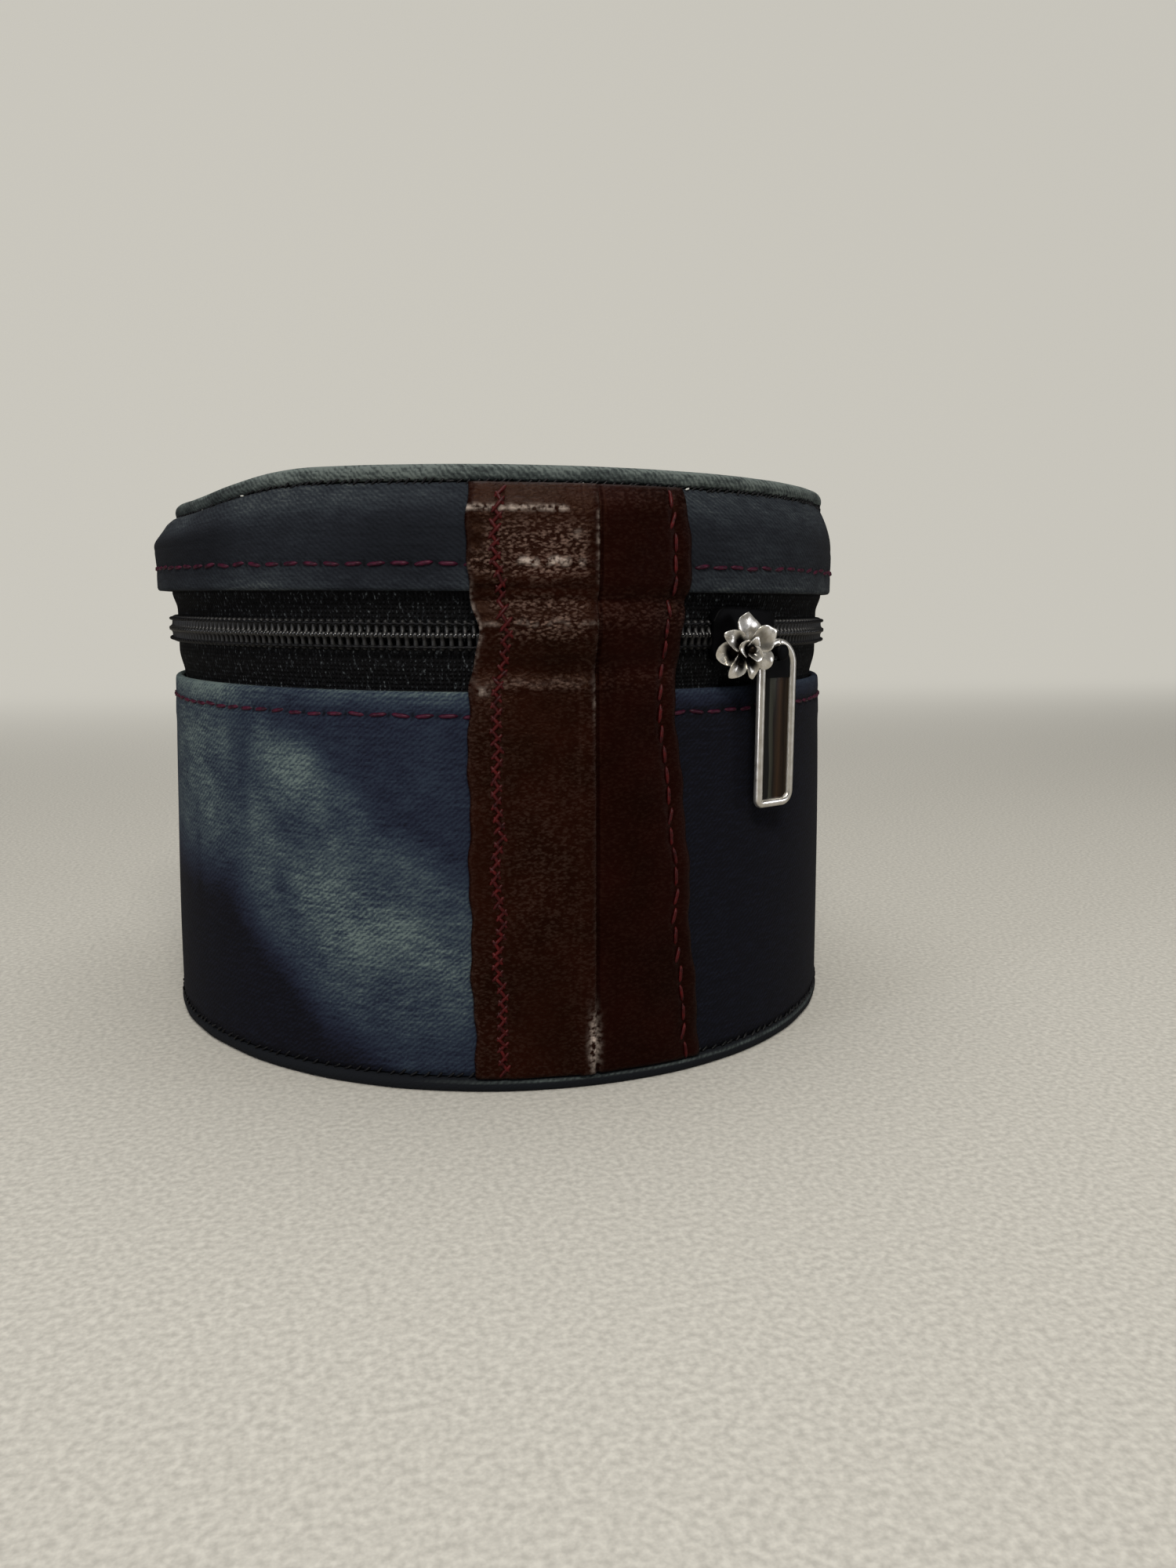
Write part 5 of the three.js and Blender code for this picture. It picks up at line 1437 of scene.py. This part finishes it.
def upright(inner, outer, foot, top, count=12):
    """A profile with upright faces, divided along its height: inner and outer are radii or
    functions of the height."""
    z = np.linspace(foot, top, count)
    outer_r = outer(z) if callable(outer) else np.full(count, outer)
    inner_r = np.full(count, inner)
    return np.concatenate([np.stack([outer_r, z], -1), np.stack([inner_r, z], -1)[::-1]])


turned_layer("body_lining_cloth", [
    (69.1, 1.9), (69.1, 20), (69.1, 45), (69.1, 73.2), (69.25, 73.9), (69.7, 74.2), (71.5, 74.2),
    (71.9, 74.0), (72.0, 73.7), (69.9, 73.6), (69.7, 73.2), (69.7, 45), (69.7, 20), (69.7, 1.9),
], 0.08, lining_cloth, "base", ["body_lining"])
turned_layer("lid_lining_cloth", [
    (69.9, 111.9), (69.9, 108), (69.9, 104), (69.9, 100), (69.9, 94.3), (70.05, 93.8), (70.5, 93.6),
    (73.2, 93.6), (73.6, 93.8), (73.7, 94.2), (73.7, 98.6), (73.1, 98.6), (73.1, 94.4),
    (72.9, 94.2), (70.7, 94.2), (70.5, 94.5), (70.5, 100), (70.5, 104), (70.5, 108), (70.5, 111.9),
], 0.08, lining_cloth, "lid", ["lid_lining"])
turned_layer("lid_board_ring", upright(70.8, 72.8, 94.5, 111.9), 0.0, board_grey, "lid",
             ["lid_board"])
turned_layer("lid_wadding", upright(
    73.1, lambda z: lid_radius(z) - DENIM - LAYER_GAP, 102.3, 110.5,
), 0.0, wadding, "lid", ["lid_padding"])


def board_disc(name, radius, foot, top):
    """A stiff disc with softly broken edges, on rings close enough to follow the slump."""
    r = np.concatenate([np.linspace(0.05, radius - 0.3, 14), [radius - 0.08, radius]])
    drop = np.concatenate([np.zeros(14), [0.06, 0.25]])
    lower = np.stack([r, foot + drop], -1)
    upper = np.stack([r, top - drop], -1)[::-1]
    outline = np.concatenate([lower, upper])
    angle = np.linspace(0, AROUND, 120, endpoint=False)[None]
    grid = slumped(drum(angle, outline[:, :1], outline[:, 1:] + 0 * angle))
    return grid_mesh(name, grid, None, False, True, None, 40)


show(board_disc("top_board_disc", 73.7, 113.0, 114.0), board_grey, "lid", ["top_board"])


PAD_VOXEL, PAD_PRESSURE, PAD_FRAMES, PAD_SWELL = 2.4, 4.0, 20, 2.2
PAD_EDGE = 1.9


def filled(mesh, radius, seat, up, settle):
    """The pad's cover blown up as wadding fills it: remeshed, sewn fast at its rim and where it
    lies on its board, pressed outwards by Cloth, held to PAD_SWELL mm of movement that fades
    out over the last 5 mm before the rim, and settled with the piece that it lies in."""
    scene = bpy.context.scene
    cover = bpy.data.objects.new(mesh.name + "_cover", mesh)
    scene.collection.objects.link(cover)
    remesh = cover.modifiers.new("remesh", "REMESH")
    remesh.mode, remesh.voxel_size = "VOXEL", PAD_VOXEL * MM
    graph = bpy.context.evaluated_depsgraph_get()
    even = bpy.data.meshes.new_from_object(cover.evaluated_get(graph))
    cover.modifiers.clear()
    cover.data = even
    before = np.empty(len(even.vertices) * 3)
    even.vertices.foreach_get("co", before)
    before = before.reshape(-1, 3)
    reach = np.hypot(before[:, 0], before[:, 1]) / MM
    height = up * (before[:, 2] / MM - seat)
    sewn_down = (height < 1.4) | (reach > radius - 1.2)
    held = cover.vertex_groups.new(name="sewn_down")
    held.add(np.flatnonzero(sewn_down).tolist(), 1.0, "REPLACE")
    cloth = cover.modifiers.new("cloth", "CLOTH")
    cloth.settings.vertex_group_mass = held.name
    cloth.settings.use_pressure = True
    cloth.settings.uniform_pressure_force = PAD_PRESSURE
    cloth.settings.effector_weights.gravity = 0
    cloth.point_cache.frame_start, cloth.point_cache.frame_end = 1, PAD_FRAMES
    for frame in range(1, PAD_FRAMES + 1):
        scene.frame_set(frame)
    blown = cover.evaluated_get(bpy.context.evaluated_depsgraph_get()).to_mesh()
    after = np.empty(len(blown.vertices) * 3)
    blown.vertices.foreach_get("co", after)
    moved = after.reshape(-1, 3) - before
    length = np.linalg.norm(moved, axis=1)
    most = PAD_SWELL * MM * smooth((radius - reach) / 5)
    share = np.minimum(1, most / np.maximum(length, 1e-9)) * (height > 1.4)
    settled = settle((before + moved * share[:, None]) / MM) * MM
    even.vertices.foreach_set("co", settled.ravel())
    print("filled", mesh.name, len(before), "points, moved", round(length.max() / MM, 2),
          "mm at most")
    scene.frame_set(1)
    bpy.data.objects.remove(cover)
    name = mesh.name
    bpy.data.meshes.remove(mesh)
    even.name = name
    even.shade_smooth()
    return even


def cushion(name, radius, seat, up, seed, body, nodes):
    """A padded disc: flat where it rests, a round swelling edge, and a crowned face that falls
    by the square of the distance out, with a soft dimple of slack."""
    a = np.linspace(-np.pi / 2, np.pi / 2, 12)
    edge_r = radius - PAD_EDGE + PAD_EDGE * np.cos(a)
    edge_h = PAD_EDGE + PAD_EDGE * np.sin(a)
    face_r = np.linspace(radius - 3, 0.05, 40)
    face_h = 2 * PAD_EDGE + 1.4 * (1 - (face_r / radius) ** 2) ** 0.8
    seat_r = np.linspace(0.05, radius - 3, 12)
    outline = np.concatenate([
        np.stack([seat_r, 0 * seat_r], -1),
        np.stack([edge_r, edge_h], -1),
        np.stack([face_r, face_h], -1),
    ])
    angle = np.linspace(0, AROUND, 200, endpoint=False)[None]
    r, h = outline[:, :1], outline[:, 1:]
    slack = 0.3 * ripple(angle, r, seed, (3, 9), 50.0) * smooth((h - 2.5) / 2) * smooth(r / 20)
    pucker = 0.12 * np.cos(48 * angle) * bell(r, radius - 2.5, 2.0) * (h > PAD_EDGE)
    grid = drum(angle, r + 0 * angle, seat + up * (h + slack + pucker))
    settle = slumped if body == "lid" else (lambda points: points)
    mesh = filled(grid_mesh(name, grid, None, False, True), radius, seat, up, settle)
    piece = show(mesh, lining_cloth, body, nodes)
    soft = piece.modifiers.new("soft", "SUBSURF")
    soft.levels = soft.render_levels = 1
    return piece


cushion("floor_cushion", 68.8, 2.1, 1, 63, "base", ["floor_pad"])
cushion("ceiling_cushion", 69.5, 112.7, -1, 64, "lid", ["ceiling_pad"])


def hinge_strip():
    """The strip inside that backs the leather: a thin sheet between the two linings."""
    z = np.linspace(74.55, 93.25, 24)
    reach = 22.8 / STRAP_RADIUS
    angle = np.linspace(-reach, reach, 40)[:, None]
    slack = 0.1 * np.sin(0.9 * z)[None] * np.cos(angle * 12)
    outer = 71.8 + slack
    inner = outer - TAPE
    grid = np.concatenate([
        drum(angle, outer, z[None]), drum(angle, inner[:, ::-1], z[None, ::-1]),
    ], 1)
    return grid_mesh("hinge_strip_cloth", grid, None, False, True)


show(hinge_strip(), lining_cloth, None, ["hinge_lining"], LEATHER_BEND)


# ---------------------------------------------------------------- stage, light and camera


def stage_sheet():
    """A pale floor that curves up into a backdrop far behind: a profile drawn out sideways."""
    a = np.linspace(0, np.pi / 2, 16)
    y = np.concatenate([[-1.6], np.linspace(-0.8, 0.9, 8), 0.9 + 0.5 * np.sin(a[1:]), [1.4]])
    z = np.concatenate([[0], np.zeros(8), 0.5 - 0.5 * np.cos(a[1:]), [2.4]])
    x = np.linspace(-2.4, 2.4, 12)
    grid = np.stack([
        np.broadcast_to(x, (len(y), 12)),
        np.broadcast_to(y[:, None], (len(y), 12)),
        np.broadcast_to(z[:, None], (len(y), 12)),
    ], -1) / MM
    rows, columns = grid.shape[:2]
    i, j = np.meshgrid(np.arange(rows - 1), np.arange(columns - 1), indexing="ij")
    faces = np.stack([i * columns + j, i * columns + j + 1, (i + 1) * columns + j + 1,
                      (i + 1) * columns + j], -1).reshape(-1, 4).tolist()
    mesh = bpy.data.meshes.new("stage_sheet")
    mesh.from_pydata((grid.reshape(-1, 3) * MM).tolist(), [], faces)
    mesh.shade_smooth()
    return mesh


stage = bpy.data.objects.new("stage_sheet", stage_sheet())
bpy.context.scene.collection.objects.link(stage)
stage.data.materials.append(plain_stage("stage_matt_paper", "C8C5BC", "AEABA3"))


def soft_lamp(name, place, aim, size, power, colour):
    """A square soft light at a place, turned towards what it lights. Sizes in metres."""
    lamp = bpy.data.lights.new(name, "AREA")
    lamp.shape = "RECTANGLE"
    lamp.size, lamp.size_y = size
    lamp.energy = power
    lamp.color = linear(colour)[:3]
    holder = bpy.data.objects.new(name, lamp)
    holder.location = place
    holder.rotation_euler = (Vector(aim) - Vector(place)).to_track_quat("-Z", "Y").to_euler()
    bpy.context.scene.collection.objects.link(holder)


soft_lamp("window_front", (-0.13, -0.85, 0.88), (0, 0, 0.06), (0.5, 0.22), 9.0, "FFFAF2")
soft_lamp("sky_above", (0.05, 0.1, 1.1), (0, 0, 0.05), (0.9, 0.9), 5.2, "FFFFFF")
soft_lamp("window_left", (-0.8, -0.45, 0.16), (0, 0, 0.07), (0.12, 0.5), 2.2, "F4F6FF")
soft_lamp("window_right", (0.85, -0.38, 0.22), (0, 0, 0.08), (0.1, 0.3), 0.9, "F4F6FF")

# An even world for the shadows, which shiny surfaces see darker, like a dim room, and the
# camera as pale as the backdrop, for views past its edge
world = bpy.data.worlds.new("studio")
world.use_nodes = True
background = world.node_tree.nodes["Background"]
background.inputs["Color"].default_value = linear("E8E8E6")
path = add(world.node_tree, "LightPath")
room = add(world.node_tree, "MapRange", {
    "Value": path.outputs["Is Glossy Ray"], "To Min": 0.29, "To Max": 0.06,
})
seen = add(world.node_tree, "Math", {
    0: path.outputs["Is Camera Ray"], 1: 0.62,
}, operation="MULTIPLY")
level = add(world.node_tree, "Math", {0: room.outputs[0], 1: seen.outputs[0]}, operation="MAXIMUM")
world.node_tree.links.new(level.outputs[0], background.inputs["Strength"])
bpy.context.scene.world = world

# The camera stands where the outlines of the case meet the photograph's
CAMERA_PLACE = np.array([-54.4, -282.7, 91.3]) * MM
HEADING, PITCH, ROLL, LENS = np.radians(15.03), np.radians(8.82), 0.005, 27.036
ahead = np.array([np.sin(HEADING) * np.cos(PITCH), np.cos(HEADING) * np.cos(PITCH), -np.sin(PITCH)])
right = np.array([np.cos(HEADING), -np.sin(HEADING), 0])
above = np.cross(right, ahead)
right, above = (np.cos(ROLL) * right + np.sin(ROLL) * above,
                np.cos(ROLL) * above - np.sin(ROLL) * right)
lens = bpy.data.cameras.new("camera")
lens.sensor_fit, lens.sensor_width, lens.lens = "AUTO", 36, LENS
lens.clip_start = 0.01
camera = bpy.data.objects.new("camera", lens)
bpy.context.scene.collection.objects.link(camera)
camera.matrix_world = Matrix([
    [right[0], above[0], -ahead[0], CAMERA_PLACE[0]],
    [right[1], above[1], -ahead[1], CAMERA_PLACE[1]],
    [right[2], above[2], -ahead[2], CAMERA_PLACE[2]],
    [0, 0, 0, 1],
])
bpy.context.scene.camera = camera
bpy.context.scene.view_settings.view_transform = "Standard"
